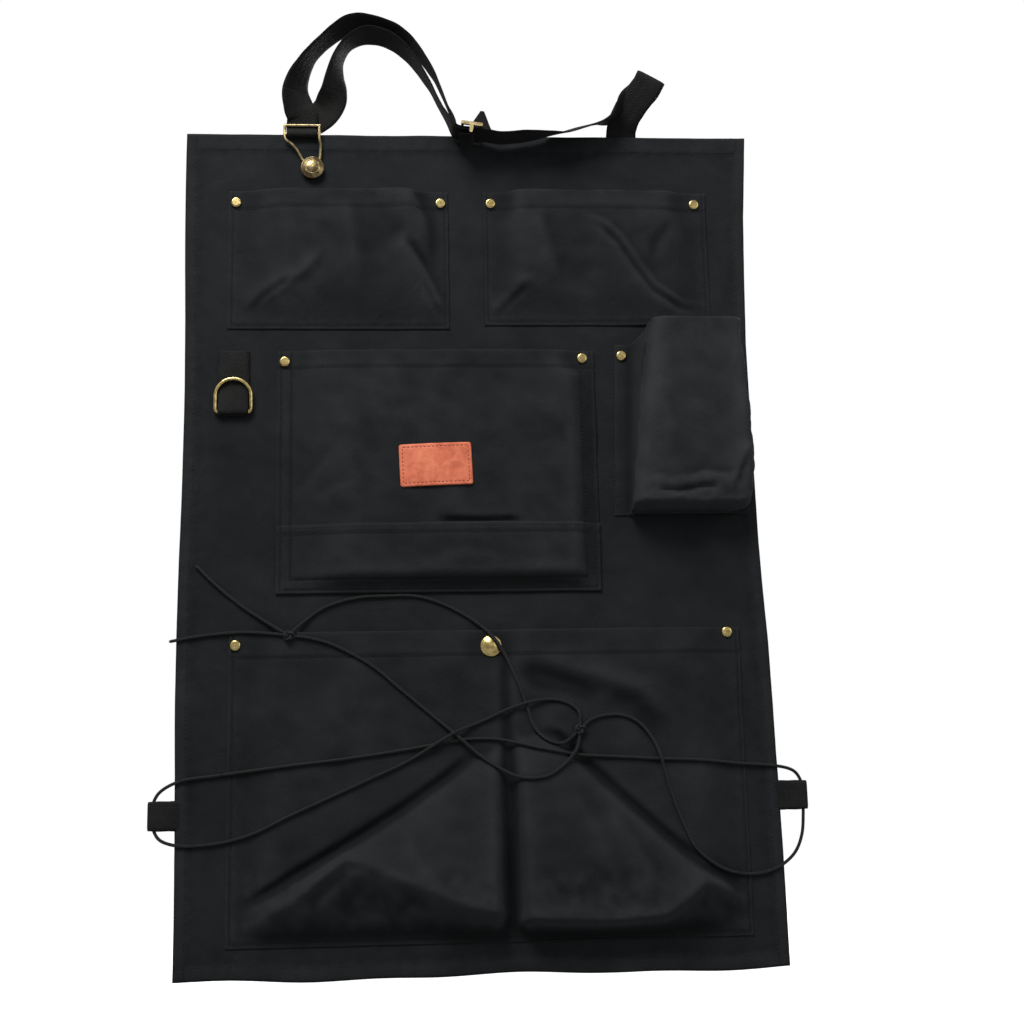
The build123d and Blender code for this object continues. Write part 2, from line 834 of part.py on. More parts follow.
# One cord: both ends meet in the first knot, run on to the second and pass through both loops.
# Each run is (x, y) points on the front, with a lift where it crosses over another run.
first_knot = (-146, -80)
second_knot = (76, -155)
right_pass = (246.3, -207.5)
left_pass = (-246.3, -214)
loop_middle = loop_back + webbing_thick + loop_gap / 2
cord_runs = (
    (0, ((-218, -24), (-203, -39), (-184, -55), (-165, -68), first_knot)),
    (0, ((-237, -83), (-214, -79), (-184, -76.5), (-161, -78), first_knot)),
    (
        3,
        (first_knot, (-136, -70), (-119, -58), (-96, -51), (-73, -49.5), (-45, -50.5), (-18, -61))
        + ((5, -77), (18, -94), (28, -116), (35, -135), (41, -153), (51, -163), (63, -165))
        + (second_knot,),
    ),
    (
        3,
        (first_knot, (-130, -82), (-111, -88), (-84, -103), (-61, -122), (-39, -141), (-20, -157))
        + ((-2, -173), (14, -184), (31, -191), (49, -190), (63, -181), (73, -169), second_knot),
    ),
    (
        3,
        (second_knot, (86, -147), (102, -144), (116, -147), (127, -156), (135, -170), (140, -188))
        + ((146, -210), (153, -229), (160, -244), (171, -255), (186, -263), (205, -266))
        + ((223, -262), (237, -252), (244, -238), (246.3, -221), right_pass),
    ),
    (
        0,
        (right_pass, (246.3, -195), (240, -188), (225, -185), (200, -183), (169, -180))
        + ((130, -178), (99, -176), (72, -175), (45, -170), (15, -162), (-8, -161), (-31, -164))
        + ((-62, -169), (-100, -174), (-138, -178), (-175, -182), (-201, -185), (-225, -188))
        + ((-240, -193), (-246.3, -201), left_pass),
    ),
    (
        6,
        (left_pass, (-246.3, -227), (-240, -233), (-227, -236), (-211, -236), (-193, -234))
        + ((-171, -228), (-145, -216), (-115, -203), (-85, -190), (-58, -178), (-39, -167))
        + ((-20, -156), (0, -148), (23, -138), (46, -132), (63, -133), (75, -141), second_knot),
    ),
)


def cord_out(x, y, lift):
    """How far out the cord's middle lies, so that it clears the cloth and threads the loops."""
    beyond = min(max((abs(x) - 222) / 10, 0), 1)
    reach = 6
    around = ((0, 0), (reach, 0), (-reach, 0), (0, reach), (0, -reach))
    resting = max(cloth_height(x + dx, y + dy) for dx, dy in around)
    over = resting + cord_radius + cord_clearance + lift
    near_tack = math.dist((x, y), tack_place) < tack_cap_radius + 6
    if near_tack:
        over = max(over, cap_base + tack_cap_rise + cord_radius + 1)
    return over + (loop_middle - over) * beyond


with BuildPart() as waist_cord:
    for lift, run in cord_runs:
        points = [place(x, y, cord_out(x, y, lift)) for x, y in run]
        with BuildLine() as cord_line:
            Polyline(*points)
        with BuildSketch(Plane(origin=points[0], z_dir=points[1] - points[0])):
            Circle(cord_radius)
        sweep(path=cord_line.wire(), transition=Transition.RIGHT)
    for x, y in (first_knot, second_knot):
        with Locations(place(x, y, cord_out(x, y, 3))):
            Sphere(knot_radius, rotation=(90, 0, 0))
save(waist_cord.part, "waist_cord")
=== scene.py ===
"""Looks of a canvas work apron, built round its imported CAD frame.

Places are in mm from the panel's middle: x to the right, y up, out to the front. `to_m` turns them
into the frame's metres. The swell functions raise a pocket's cloth, and their folds are lines on it.
"""
import bpy
import math
import numpy as np
from mathutils import Matrix, Vector
from mathutils.bvhtree import BVHTree


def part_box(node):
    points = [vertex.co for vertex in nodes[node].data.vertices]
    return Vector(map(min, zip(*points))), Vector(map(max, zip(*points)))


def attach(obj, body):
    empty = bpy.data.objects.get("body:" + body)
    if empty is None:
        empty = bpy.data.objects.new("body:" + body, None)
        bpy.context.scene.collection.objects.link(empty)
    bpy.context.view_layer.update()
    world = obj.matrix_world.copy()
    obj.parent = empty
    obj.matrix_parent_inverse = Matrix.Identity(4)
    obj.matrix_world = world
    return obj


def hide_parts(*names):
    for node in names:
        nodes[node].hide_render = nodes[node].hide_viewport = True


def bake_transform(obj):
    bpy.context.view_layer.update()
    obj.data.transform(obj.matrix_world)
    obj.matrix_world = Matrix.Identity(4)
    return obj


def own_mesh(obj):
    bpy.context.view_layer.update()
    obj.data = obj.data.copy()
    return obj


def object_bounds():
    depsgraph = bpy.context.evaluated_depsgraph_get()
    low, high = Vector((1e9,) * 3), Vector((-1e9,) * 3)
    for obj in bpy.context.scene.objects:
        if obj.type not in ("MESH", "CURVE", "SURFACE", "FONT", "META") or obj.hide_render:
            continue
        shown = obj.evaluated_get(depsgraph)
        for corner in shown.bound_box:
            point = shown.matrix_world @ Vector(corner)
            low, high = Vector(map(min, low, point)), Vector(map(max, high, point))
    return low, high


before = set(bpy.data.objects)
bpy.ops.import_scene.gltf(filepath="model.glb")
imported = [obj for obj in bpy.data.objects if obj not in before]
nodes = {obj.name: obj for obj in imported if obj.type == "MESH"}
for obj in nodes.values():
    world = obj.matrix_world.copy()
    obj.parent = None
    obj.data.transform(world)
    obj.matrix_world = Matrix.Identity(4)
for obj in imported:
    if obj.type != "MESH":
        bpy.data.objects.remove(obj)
cad_box = [[float(v) for v in corner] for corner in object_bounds()]

panel_low, panel_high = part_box("main_panel")
MID_X = (panel_low[0] + panel_high[0]) / 2
MID_Z = (panel_low[2] + panel_high[2]) / 2
HALF_W = (panel_high[0] - panel_low[0]) * 500
HALF_H = (panel_high[2] - panel_low[2]) * 500
TURN = 2 * math.pi


# ------------------------------------------------------------------ places and noise

def to_m(x, y, out):
    """Millimetres right of, above and out in front of the panel's middle, to the shared frame."""
    x, y, out = np.broadcast_arrays(x, y, out)
    return np.stack([x / 1000 + MID_X, -out / 1000, y / 1000 + MID_Z], axis=-1)


def flat_box(node):
    """(left, right, bottom, top) of a CAD node, in mm from the panel's middle."""
    low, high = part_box(node)
    return ((low[0] - MID_X) * 1000, (high[0] - MID_X) * 1000,
            (low[2] - MID_Z) * 1000, (high[2] - MID_Z) * 1000)


def smooth(low, high, value):
    """0 below low, 1 above high, and an easy slope between."""
    t = np.clip((value - low) / (high - low), 0, 1)
    return t * t * (3 - 2 * t)


def ripples(X, Y, size, seed, octaves=3):
    """Soft seeded noise from crossed sine waves, about -1 to 1."""
    rng = np.random.RandomState(seed)
    total = np.zeros_like(X, dtype=float)
    reach = 0.0
    for octave in range(octaves):
        for _ in range(5):
            angle = rng.uniform(0, math.pi)
            wave = TURN / (size / 1.8 ** octave * rng.uniform(0.7, 1.4))
            phase = rng.uniform(0, 6.28, 2)
            along = X * math.cos(angle) + Y * math.sin(angle)
            across = Y * math.cos(angle) - X * math.sin(angle)
            bend = 0.9 * np.sin(across * wave * 0.43 + phase[1])
            total += np.sin(along * wave + phase[0] + bend) / 1.7 ** octave
        reach += 2.6 / 1.7 ** octave
    return total / reach


def to_line(X, Y, line):
    """Distance from a polyline, share along it, and which side (+ left of its travel)."""
    best = np.full(X.shape, 1e9)
    share = np.zeros(X.shape)
    side = np.ones(X.shape)
    lengths = [math.dist(a, b) for a, b in zip(line, line[1:])]
    total, run = sum(lengths), 0.0
    for (a, b), length in zip(zip(line, line[1:]), lengths):
        ux, uy = (b[0] - a[0]) / length, (b[1] - a[1]) / length
        t = np.clip((X - a[0]) * ux + (Y - a[1]) * uy, 0, length)
        dx, dy = X - a[0] - ux * t, Y - a[1] - uy * t
        d = np.hypot(dx, dy)
        near = d < best
        best = np.where(near, d, best)
        share = np.where(near, (run + t) / total, share)
        side = np.where(near, np.sign(ux * dy - uy * dx + 1e-9), side)
        run += length
    return best, share, side


def crease(X, Y, line, height, sharp, broad, taper=0.25):
    """A fold: steep on the left of the line's travel, a slow swell away on its right."""
    d, share, side = to_line(X, Y, line)
    fade = np.minimum(smooth(0, taper, share), smooth(0, taper, 1 - share))
    steep = np.exp(-(d / sharp) ** 2)
    slow = np.exp(-(d / broad) ** 1.4)
    return height * fade * np.where(side > 0, steep, slow)


def groove(X, Y, line, depth, width, taper=0.02):
    """A valley along a line, fading at its ends."""
    d, share, _ = to_line(X, Y, line)
    fade = np.minimum(smooth(-0.01, taper, share), smooth(-0.01, taper, 1 - share))
    return -depth * fade * np.exp(-(d / width) ** 2)


def folded(X, Y, *folds):
    """The sum of several folds, each given as (crease or groove, line, its other numbers)."""
    return sum(shape(X, Y, line, *numbers) for shape, line, *numbers in folds)


# ------------------------------------------------------------------ meshes

def link(name, data):
    """A new object in the scene, round a mesh, light or camera."""
    thing = bpy.data.objects.new(name, data)
    bpy.context.scene.collection.objects.link(thing)
    return thing


def build(name, verts, faces, slot, uvs):
    """A smooth-shaded piece with its slot's material and one UV pair for each vertex."""
    mesh = bpy.data.meshes.new(name)
    mesh.from_pydata([tuple(v) for v in verts], [], [tuple(int(i) for i in f) for f in faces])
    layer = mesh.uv_layers.new(name="UVMap")
    corners = np.empty(len(mesh.loops), dtype=np.int32)
    mesh.loops.foreach_get("vertex_index", corners)
    layer.data.foreach_set("uv", np.asarray(uvs, dtype=np.float32)[corners].ravel())
    mesh.shade_smooth()
    mesh.update()
    mesh.materials.append(materials[slot])
    piece = link(name, mesh)
    return piece


def settle(piece, body, *stand_ins):
    """Puts a piece in the place of CAD nodes and lets it ride on a body."""
    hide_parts(*stand_ins)
    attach(piece, body)
    return piece


def grid_faces(rows, cols, start=0, flip=False, closed=False):
    """Quads over a grid of vertices; closed joins the last column to the first."""
    j, i = np.meshgrid(np.arange(rows - 1), np.arange(cols if closed else cols - 1), indexing="ij")
    i2 = (i + 1) % cols
    quads = np.stack([j * cols + i, j * cols + i2, (j + 1) * cols + i2, (j + 1) * cols + i], -1)
    quads = quads.reshape(-1, 4) + start
    return quads[:, ::-1] if flip else quads


def rim_faces(rows, cols, back):
    """Walls between a front grid and the back grid that starts at vertex `back`."""
    edge = [(0, i) for i in range(cols - 1)] + [(j, cols - 1) for j in range(rows - 1)]
    edge += [(rows - 1, i) for i in range(cols - 1, 0, -1)] + [(j, 0) for j in range(rows - 1, 0, -1)]
    loop = [j * cols + i for j, i in edge]
    return [(b, a, a + back, b + back) for a, b in zip(loop, loop[1:] + loop[:1])]


def blur(values, reach):
    """A grid of values, each the mean of the square of cells round it."""
    for axis in (0, 1):
        pad = [(reach, reach) if k == axis else (0, 0) for k in (0, 1)]
        total = np.cumsum(np.pad(values, pad, mode="edge"), axis=axis)
        total = np.insert(total, 0, 0.0, axis=axis)
        size = 2 * reach + 1
        ends = np.take(total, range(size, total.shape[axis]), axis=axis)
        values = (ends - np.take(total, range(0, total.shape[axis] - size), axis=axis)) / size
    return values


def painted_fold_light(front):
    """Painted highlight on high folds (above 0) and painted shade in hollows (below 0), from how far the
    cloth stands proud.
    """
    out = -front[..., 1] * 1000
    level = 0.0
    for reach, gain in ((2, 0.75), (5, 0.26), (11, 0.09)):
        soft = blur(blur(out, reach), reach)
        level = level + gain * (out - soft)
    return np.tanh(level * 1.2)


def sheet(name, front, back, slot):
    """A closed sheet of cloth between two grids of points (rows up, columns to the right)."""
    rows, cols = front.shape[:2]
    count = rows * cols
    verts = np.concatenate([front.reshape(-1, 3), back.reshape(-1, 3)])
    faces = list(grid_faces(rows, cols)) + list(grid_faces(rows, cols, count, flip=True))
    faces += rim_faces(rows, cols, count)
    uv = verts[:, [0, 2]]
    piece = build(name, verts, faces, slot, uv)
    # Painted fold light and shade: a highlight on the front's high folds and shade in its hollows, kept for
    # the canvas colour.
    fold_light_and_shade = piece.data.attributes.new("painted_fold_light", "FLOAT", "POINT")
    fold_light_and_shade.data.foreach_set("value", np.r_[painted_fold_light(front).ravel(), np.zeros(count)].astype(np.float32))
    return piece


def unit(vectors):
    return vectors / (np.linalg.norm(vectors, axis=-1, keepdims=True) + 1e-12)


def offset_back(front, thick):
    """The front grid moved back along its own normals."""
    normal = unit(np.cross(np.gradient(front, axis=1), np.gradient(front, axis=0)))
    return front - normal * (thick[..., None] / 1000)


def smooth_path(knots, step):
    """Evenly spaced samples of a smooth curve through rows of numbers (first three are mm)."""
    knots = np.asarray(knots, dtype=float)
    padded = np.vstack([2 * knots[0] - knots[1], knots, 2 * knots[-1] - knots[-2]])
    dense = []
    for p0, p1, p2, p3 in zip(padded, padded[1:], padded[2:], padded[3:]):
        for t in np.linspace(0, 1, 24, endpoint=False):
            dense.append(0.5 * (2 * p1 + (p2 - p0) * t + (2 * p0 - 5 * p1 + 4 * p2 - p3) * t * t
                                + (3 * p1 - p0 - 3 * p2 + p3) * t ** 3))
    dense.append(knots[-1])
    dense = np.array(dense)
    run = np.r_[0, np.cumsum(np.linalg.norm(np.diff(dense[:, :3], axis=0), axis=1))]
    count = max(int(run[-1] / step), 4)
    spots = np.linspace(0, run[-1], count + 1)
    return np.stack([np.interp(spots, run, dense[:, k]) for k in range(dense.shape[1])], 1), spots


def tangents(points):
    return unit(np.gradient(points, axis=0))


def ring_tube(name, rings, spots, slot, around):
    """A closed skin over rings of points; `around` gives each ring point's place across."""
    count, sides = rings.shape[:2]
    verts = rings.reshape(-1, 3)
    faces = [tuple(q) for q in grid_faces(count, sides, closed=True)]
    faces.append(tuple(range(sides))[::-1])
    faces.append(tuple((count - 1) * sides + k for k in range(sides)))
    uv = np.stack([np.repeat(spots / 1000, sides), np.tile(np.asarray(around) / 1000, count)], 1)
    return build(name, verts, faces, slot, uv)


# ------------------------------------------------------------------ materials

class Graph:
    """Short hand for a node material."""

    def __init__(self, name):
        self.material = bpy.data.materials.new(name)
        self.material.use_nodes = True
        self.nodes = self.material.node_tree.nodes
        self.links = self.material.node_tree.links
        self.shader = self.nodes["Principled BSDF"]
        self.spot = self.add("ShaderNodeTexCoord").outputs["Object"]

    def add(self, kind, settings=None, **inputs):
        node = self.nodes.new(kind)
        for key, value in (settings or {}).items():
            setattr(node, key, value)
        for key, value in inputs.items():
            socket = node.inputs[int(key[1:])] if key[0] == "i" and key[1:].isdigit() \
                else node.inputs[key.replace("_", " ")]
            self.put(value, socket)
        return node

    def put(self, value, socket):
        if isinstance(value, bpy.types.NodeSocket):
            self.links.new(value, socket)
        else:
            socket.default_value = value

    def math(self, operation, a, b=0.0):
        return self.add("ShaderNodeMath", {"operation": operation}, i0=a, i1=b).outputs[0]

    def plus(self, a, b):
        return self.math("ADD", a, b)

    def times(self, a, b):
        return self.math("MULTIPLY", a, b)

    def noise(self, vector, scale, detail=3.0, rough=0.55, distort=0.0):
        node = self.add("ShaderNodeTexNoise", None, Vector=vector, Scale=scale, Detail=detail,
                        Roughness=rough, Distortion=distort)
        return node.outputs["Fac"]

    def stretched(self, vector, scales):
        return self.add("ShaderNodeMapping", None, Vector=vector, Scale=scales).outputs[0]

    def ramp(self, factor, stops):
        node = self.add("ShaderNodeValToRGB", None, Fac=factor)
        band = node.color_ramp
        while len(band.elements) < len(stops):
            band.elements.new(0.5)
        for element, (spot, color) in zip(band.elements, stops):
            element.position = spot
            element.color = (*color, 1.0)
        return node.outputs["Color"]

    def bumps(self, layers):
        normal = None
        for height, strength, distance in layers:
            node = self.add("ShaderNodeBump", None, Height=height, Strength=strength,
                            Distance=distance)
            if normal is not None:
                self.links.new(normal, node.inputs["Normal"])
            normal = node.outputs["Normal"]
        self.links.new(normal, self.shader.inputs["Normal"])

    def finish(self, **inputs):
        for key, value in inputs.items():
            self.put(value, self.shader.inputs[key.replace("_", " ")])
        return self.material


def srgb(*rgb):
    return tuple((c / 255 / 12.92) if c < 10 else ((c / 255 + 0.055) / 1.055) ** 2.4 for c in rgb)


def canvas(name, dark, light, weave=1.0):
    """Plain-woven cotton: uneven warp and weft threads, slubs, faint fading, a soft nap, and painted light
    and shade on its folds.
    """
    g = Graph(name)
    warp = g.noise(g.stretched(g.spot, (1500.0, 1500.0, 130.0)), 1.0, 2.0)
    weft = g.noise(g.stretched(g.spot, (110.0, 1500.0, 1500.0)), 1.0, 2.0)
    threads = g.math("MAXIMUM", warp, weft)
    slub = g.noise(g.stretched(g.spot, (60.0, 300.0, 900.0)), 1.0, 4.0)
    cloud = g.noise(g.spot, 14.0, 5.0, 0.6, 0.4)
    crush = g.noise(g.stretched(g.spot, (26.0, 26.0, 19.0)), 1.0, 6.0, 0.62, 0.9)
    tone = g.plus(g.times(cloud, 0.65), g.times(threads, 0.35))
    color = g.ramp(tone, ((0.34, dark), (0.66, light)))
    lint = g.ramp(g.noise(g.spot, 900.0, 2.0), ((0.70, (0, 0, 0)), (0.80, (1, 1, 1))))
    mixed = g.add("ShaderNodeMix", {"data_type": "RGBA"}, Factor=g.times(lint, 0.10),
                  i6=color, i7=(*srgb(66, 68, 70), 1))
    # Painted light and shade: the fold attribute darkens the hollows and lightens the high folds in the base
    # colour.
    fold_light_and_shade = g.add("ShaderNodeAttribute", {"attribute_name": "painted_fold_light"}).outputs["Fac"]
    shade = g.add("ShaderNodeMapRange", None, Value=fold_light_and_shade, i1=-1.0, i2=1.0, i3=0.45, i4=1.55)
    fold_painted_color = g.add("ShaderNodeMix", {"data_type": "RGBA", "blend_type": "MULTIPLY"}, Factor=1.0,
                 i6=mixed.outputs[2], i7=shade.outputs["Result"])
    g.bumps(((crush, 0.5, 0.0034), (slub, 0.3, 0.0003), (threads, 0.6 * weave, 0.00035)))
    rough = g.plus(0.7, g.times(cloud, 0.2))
    return g.finish(Base_Color=fold_painted_color.outputs[2], Roughness=rough, Sheen_Weight=0.05,
                    Sheen_Roughness=0.5, Sheen_Tint=(0.85, 0.9, 1.0, 1), Specular_IOR_Level=0.1)


def webbing():
    """Flat-woven tape: ribs across it and a herringbone drift along it."""
    g = Graph("webbing")
    uv = g.add("ShaderNodeUVMap").outputs["UV"]
    parts = g.add("ShaderNodeSeparateXYZ", None, Vector=uv)
    along, across = parts.outputs[0], parts.outputs[1]
    drift = g.times(g.math("PINGPONG", across, 0.0031), 0.55)
    rib = g.math("SINE", g.times(g.plus(along, drift), TURN / 0.00155))
    cord = g.math("SINE", g.times(across, TURN / 0.0016))
    weave = g.plus(g.times(rib, 0.6), g.times(cord, 0.3))
    fuzz = g.noise(g.spot, 700.0, 3.0)
    cloud = g.noise(g.spot, 45.0, 4.0)
    tone = g.plus(g.times(weave, 0.16), g.plus(cloud, g.times(fuzz, 0.3)))
    color = g.ramp(tone, ((0.35, srgb(15, 15, 15)), (0.95, srgb(33, 33, 32))))
    g.bumps(((cloud, 0.3, 0.0008), (weave, 0.7, 0.00028), (fuzz, 0.5, 0.0002)))
    return g.finish(Base_Color=color, Roughness=0.72, Sheen_Weight=0.05, Sheen_Roughness=0.4,
                    Specular_IOR_Level=0.14)


def metal(name, low, high, rough_low, rough_high, tarnish):
    """Cast and plated brass: tarnish in the hollows, fine scratches, a soft orange peel."""
    g = Graph(name)
    cloud = g.noise(g.spot, 320.0, 5.0, 0.6)
    grit = g.noise(g.spot, 1800.0, 3.0)
    scratch = g.noise(g.stretched(g.spot, (260.0, 2600.0, 3800.0)), 1.0, 2.0)
    color = g.ramp(cloud, ((0.3, low), (0.62, high)))
    spots = g.ramp(g.plus(g.times(grit, 0.5), g.times(cloud, 0.5)),
                   ((0.40, (1, 1, 1)), (0.50, (0, 0, 0))))
    mixed = g.add("ShaderNodeMix", {"data_type": "RGBA"}, Factor=g.times(spots, tarnish),
                  i6=color, i7=(0.11, 0.085, 0.045, 1))
    rough = g.plus(rough_low, g.times(grit, rough_high - rough_low))
    g.bumps(((cloud, 0.25, 0.0002), (scratch, 0.18, 0.00005), (grit, 0.2, 0.00005)))
    return g.finish(Base_Color=mixed.outputs[2], Metallic=1.0, Roughness=rough)


def leather():
    """Smooth tan leather: cloudy dye, fine grain and pores."""
    g = Graph("tan_leather")
    pores = g.add("ShaderNodeTexVoronoi", {"feature": "DISTANCE_TO_EDGE"}, Vector=g.spot, Scale=820.0)
    grain = g.math("MINIMUM", pores.outputs[0], 0.25)
    cloud = g.noise(g.spot, 120.0, 5.0, 0.6, 0.5)
    fine = g.noise(g.spot, 1500.0, 3.0)
    color = g.ramp(g.plus(g.times(cloud, 0.8), g.times(fine, 0.2)),
                   ((0.32, srgb(188, 97, 69)), (0.5, srgb(216, 116, 86)), (0.68, srgb(232, 137, 103))))
    g.bumps(((cloud, 0.3, 0.0006), (grain, 0.5, 0.00025), (fine, 0.25, 0.0001)))
    return g.finish(Base_Color=color, Roughness=g.plus(0.42, g.times(fine, 0.2)),
                    Specular_IOR_Level=0.2)


def thread(name, color, pale):
    """Twisted sewing thread."""
    g = Graph(name)
    twist = g.noise(g.stretched(g.spot, (1800.0, 900.0, 1800.0)), 1.0, 2.0)
    tone = g.ramp(twist, ((0.35, color), (0.7, pale)))
    g.bumps(((twist, 0.6, 0.0002),))
    return g.finish(Base_Color=tone, Roughness=0.55, Specular_IOR_Level=0.2)


def braid():
    """Braided elastic cord: crossed bundles of yarn, from the tube's own length and turn."""
    g = Graph("elastic_cord")
    uv = g.add("ShaderNodeUVMap").outputs["UV"]
    parts = g.add("ShaderNodeSeparateXYZ", None, Vector=uv)
    along = g.times(parts.outputs[0], TURN / 0.0026)
    turn = g.times(parts.outputs[1], TURN / 0.00262)
    left = g.math("SINE", g.plus(along, turn))
    right = g.math("SINE", g.math("SUBTRACT", along, turn))
    weave = g.math("MAXIMUM", left, right)
    fuzz = g.noise(g.spot, 1400.0, 2.0)
    tone = g.plus(g.times(weave, 0.3), fuzz)
    color = g.ramp(tone, ((0.4, srgb(14, 15, 16)), (0.9, srgb(40, 41, 43))))
    g.bumps(((weave, 0.7, 0.0003), (fuzz, 0.3, 0.0001)))
    return g.finish(Base_Color=color, Roughness=0.6, Sheen_Weight=0.05, Specular_IOR_Level=0.2)


materials = {
    "bib_canvas": canvas("bib_canvas", srgb(22, 23.5, 25), srgb(33, 35, 36.5)),
    "pocket_canvas": canvas("pocket_canvas", srgb(23, 24.5, 26), srgb(35, 36.5, 38.5)),
    "bottle_canvas": canvas("bottle_canvas", srgb(29, 30.5, 32), srgb(40, 41.5, 43), 0.8),
    "webbing": webbing(),
    "tan_leather": leather(),
    "aged_brass": metal("aged_brass", (0.09, 0.06, 0.028), (0.34, 0.26, 0.13), 0.24, 0.42, 0.8),
    "antique_brass": metal("antique_brass", (0.2, 0.15, 0.075), (0.46, 0.37, 0.19), 0.30, 0.5, 0.55),
    "bright_brass": metal("bright_brass", (0.5, 0.36, 0.12), (0.84, 0.66, 0.28), 0.16, 0.34, 0.3),
    "elastic_cord": braid(),
}
dark_thread = thread("dark_thread", srgb(12, 12.5, 13), srgb(33, 34, 35))
label_thread = thread("label_thread", srgb(96, 40, 26), srgb(150, 80, 52))


# ------------------------------------------------------------------ cloth

CLOTH = 0.8         # one ply of canvas
SEAM = 2.5          # front of a pocket's sewn edge
STRAP_FOOT_X = 126.0
still_spots = []
for node in ("rivet_caps", "center_tack_cap", "tack_button"):
    points = np.array([nodes[node].matrix_world @ v.co for v in nodes[node].data.vertices]) * 1000
    points -= (MID_X * 1000, 0, MID_Z * 1000)
    while len(points):
        near = np.hypot(points[:, 0] - points[0, 0], points[:, 2] - points[0, 2]) < 22
        low, high = points[near].min(0), points[near].max(0)
        still_spots.append(((low[0] + high[0]) / 2, (low[2] + high[2]) / 2))
        points = points[~near]
for node in ("d_ring_tab", "left_side_loop", "right_side_loop", "strap_turn"):
    left, right, low, high = flat_box(node)
    still_spots += [((left + right) / 2 * 0.99, spot) for spot in (low, (low + high) / 2, high)]
still_spots += [(STRAP_FOOT_X, 318), (STRAP_FOOT_X, 334)]


def calm(X, Y):
    """0 at rivets and sewn tapes, 1 away from them, so that the cloth lies flat under them."""
    still = np.ones(np.shape(X))
    for x, y in still_spots:
        still *= smooth(5, 26, np.hypot(X - x, Y - y))
    return still


def lattice(left, right, low, high, pitch):
    pitch = pitch * 1.0
    xs = np.linspace(left, right, max(int((right - left) / pitch), 8) + 1)
    ys = np.linspace(low, high, max(int((high - low) / pitch), 8) + 1)
    return np.meshgrid(xs, ys)


def edge_drift(X, Y):
    """Sideways and up-and-down drift that keeps the panel's outline from being ruler straight."""
    waist = np.interp(Y, [-335, -200, -90, -10, 155, 265, 335], [0, -1.2, -3.3, -6.6, -8.2, -4.6, 0])
    right = smooth(168, HALF_W, X) * waist
    left = (1 - smooth(-HALF_W, -190, X)) * (1.2 * np.sin(Y / 63) - 0.8)
    foot = (1 - smooth(-HALF_H, -HALF_H + 50, Y)) * (1.1 * np.sin(X / 41 + 1) + 0.7 * np.sin(X / 17))
    return right + left, foot


def lie(X, Y):
    """The slow waves of cloth that isn't quite flat, shared by the panel and what is sewn to it."""
    return (1.1 * ripples(X, Y, 150, 5) + 0.4 * ripples(X, Y, 52, 6)) * calm(X, Y)


def panel_surface(X, Y, facing):
    """The panel's front or back: turned hems, puckers along them and the stitch rows' dips."""
    side = HALF_W - np.abs(X)
    hem = np.maximum.reduce([1 - smooth(9.2, 10.4, side), 1 - smooth(13.2, 14.6, HALF_H - Y),
                             1 - smooth(11.2, 12.4, HALF_H + Y)])
    round_off = 0.55 * np.exp(-np.minimum.reduce([side, HALF_H - Y, HALF_H + Y]) / 0.7)
    pucker = 0.22 * ripples(X, Y, 11, 3) * np.maximum(
        np.exp(-((side - 10) / 7) ** 2),
        np.maximum(np.exp(-((HALF_H - Y - 14) / 8) ** 2), np.exp(-((HALF_H + Y - 12) / 8) ** 2)))
    wave = lie(X, Y)
    rows = 0.3 * (np.exp(-((side - 8) / 0.9) ** 2) * (HALF_H - Y > 6)
                  + np.exp(-((HALF_H - Y - 13) / 0.9) ** 2) + np.exp(-((HALF_H + Y - 10) / 0.9) ** 2))
    if facing:
        return CLOTH * (2 + hem) + wave + pucker - round_off - rows
    return CLOTH * (1 - hem) + wave + pucker + round_off + rows


def make_panel():
    X, Y = lattice(-HALF_W, HALF_W, -HALF_H, HALF_H, 2.0)
    dx, dy = edge_drift(X, Y)
    front = to_m(X + dx, Y + dy, panel_surface(X, Y, True))
    back = to_m(X + dx, Y + dy, panel_surface(X, Y, False))
    return settle(sheet("panel_cloth", front, back, "bib_canvas"), "panel", "main_panel")


def seam_rows(X, Y, box, rows, mouth_row):
    """Dips where stitches pull the cloth in, this far inside a pocket's edges."""
    left, right, low, high = box
    width = 1.2
    dip = np.zeros(X.shape)
    for inset in rows:
        for d in (X - left - inset, right - inset - X, Y - low - inset):
            inside = (X > left + inset - 1) & (X < right - inset + 1) & (Y > low + inset - 1)
            dip = np.maximum(dip, np.exp(-(d / width) ** 2) * inside)
    return np.maximum(dip, np.exp(-((high - mouth_row - Y) / width) ** 2))


def patch(name, node, swell, rows, hem, pitch=1.6, level=SEAM):
    """A patch pocket: sewn flat along its sides and foot, and swelling between them."""
    box = left, right, low, high = flat_box(node)
    X, Y = lattice(left, right, low, high, pitch)
    edge = np.minimum.reduce([X - left, right - X, Y - low])
    rim = 0.5 * np.exp(-edge / 0.6) + 0.3 * np.exp(-(high - Y) / 0.6)
    hem_step = 0.35 * (1 - smooth(hem - 1, hem + 0.6, high - Y))
    pucker = 0.2 * ripples(X, Y, 9, 21) * np.exp(-((edge - 6) / 6) ** 2)
    wave = lie(X, Y)
    out = level + wave + blur(blur(swell(X, Y, box), 1), 1) + hem_step + pucker - rim
    out = out - 0.85 * seam_rows(X, Y, box, rows, hem - 1.5)
    bow = 0.8 * ripples(X, Y, 70, 31) * np.exp(-edge / 9)
    front = to_m(X + bow * np.sign(X - (left + right) / 2) * 0.5, Y, out)
    thick = np.where(high - Y < hem, 1.5, CLOTH)
    back = offset_back(front, thick)
    flat = to_m(X, Y, level + wave - CLOTH + 0.05)[..., 1]
    back[..., 1] = np.minimum(back[..., 1], flat)
    return settle(sheet(name, front, back, "pocket_canvas"), "panel", node)


def stand(X, Y, box, left_rise, right_rise, foot_rise, inset=8.0):
    """0 at the sewn edges, 1 over the body of the pocket; open at the mouth."""
    left, right, low, high = box
    return (smooth(left + inset, left + inset + left_rise, X)
            * (1 - smooth(right - inset - right_rise, right - inset, X))
            * smooth(low + inset * 0.6, low + inset * 0.6 + foot_rise, Y))


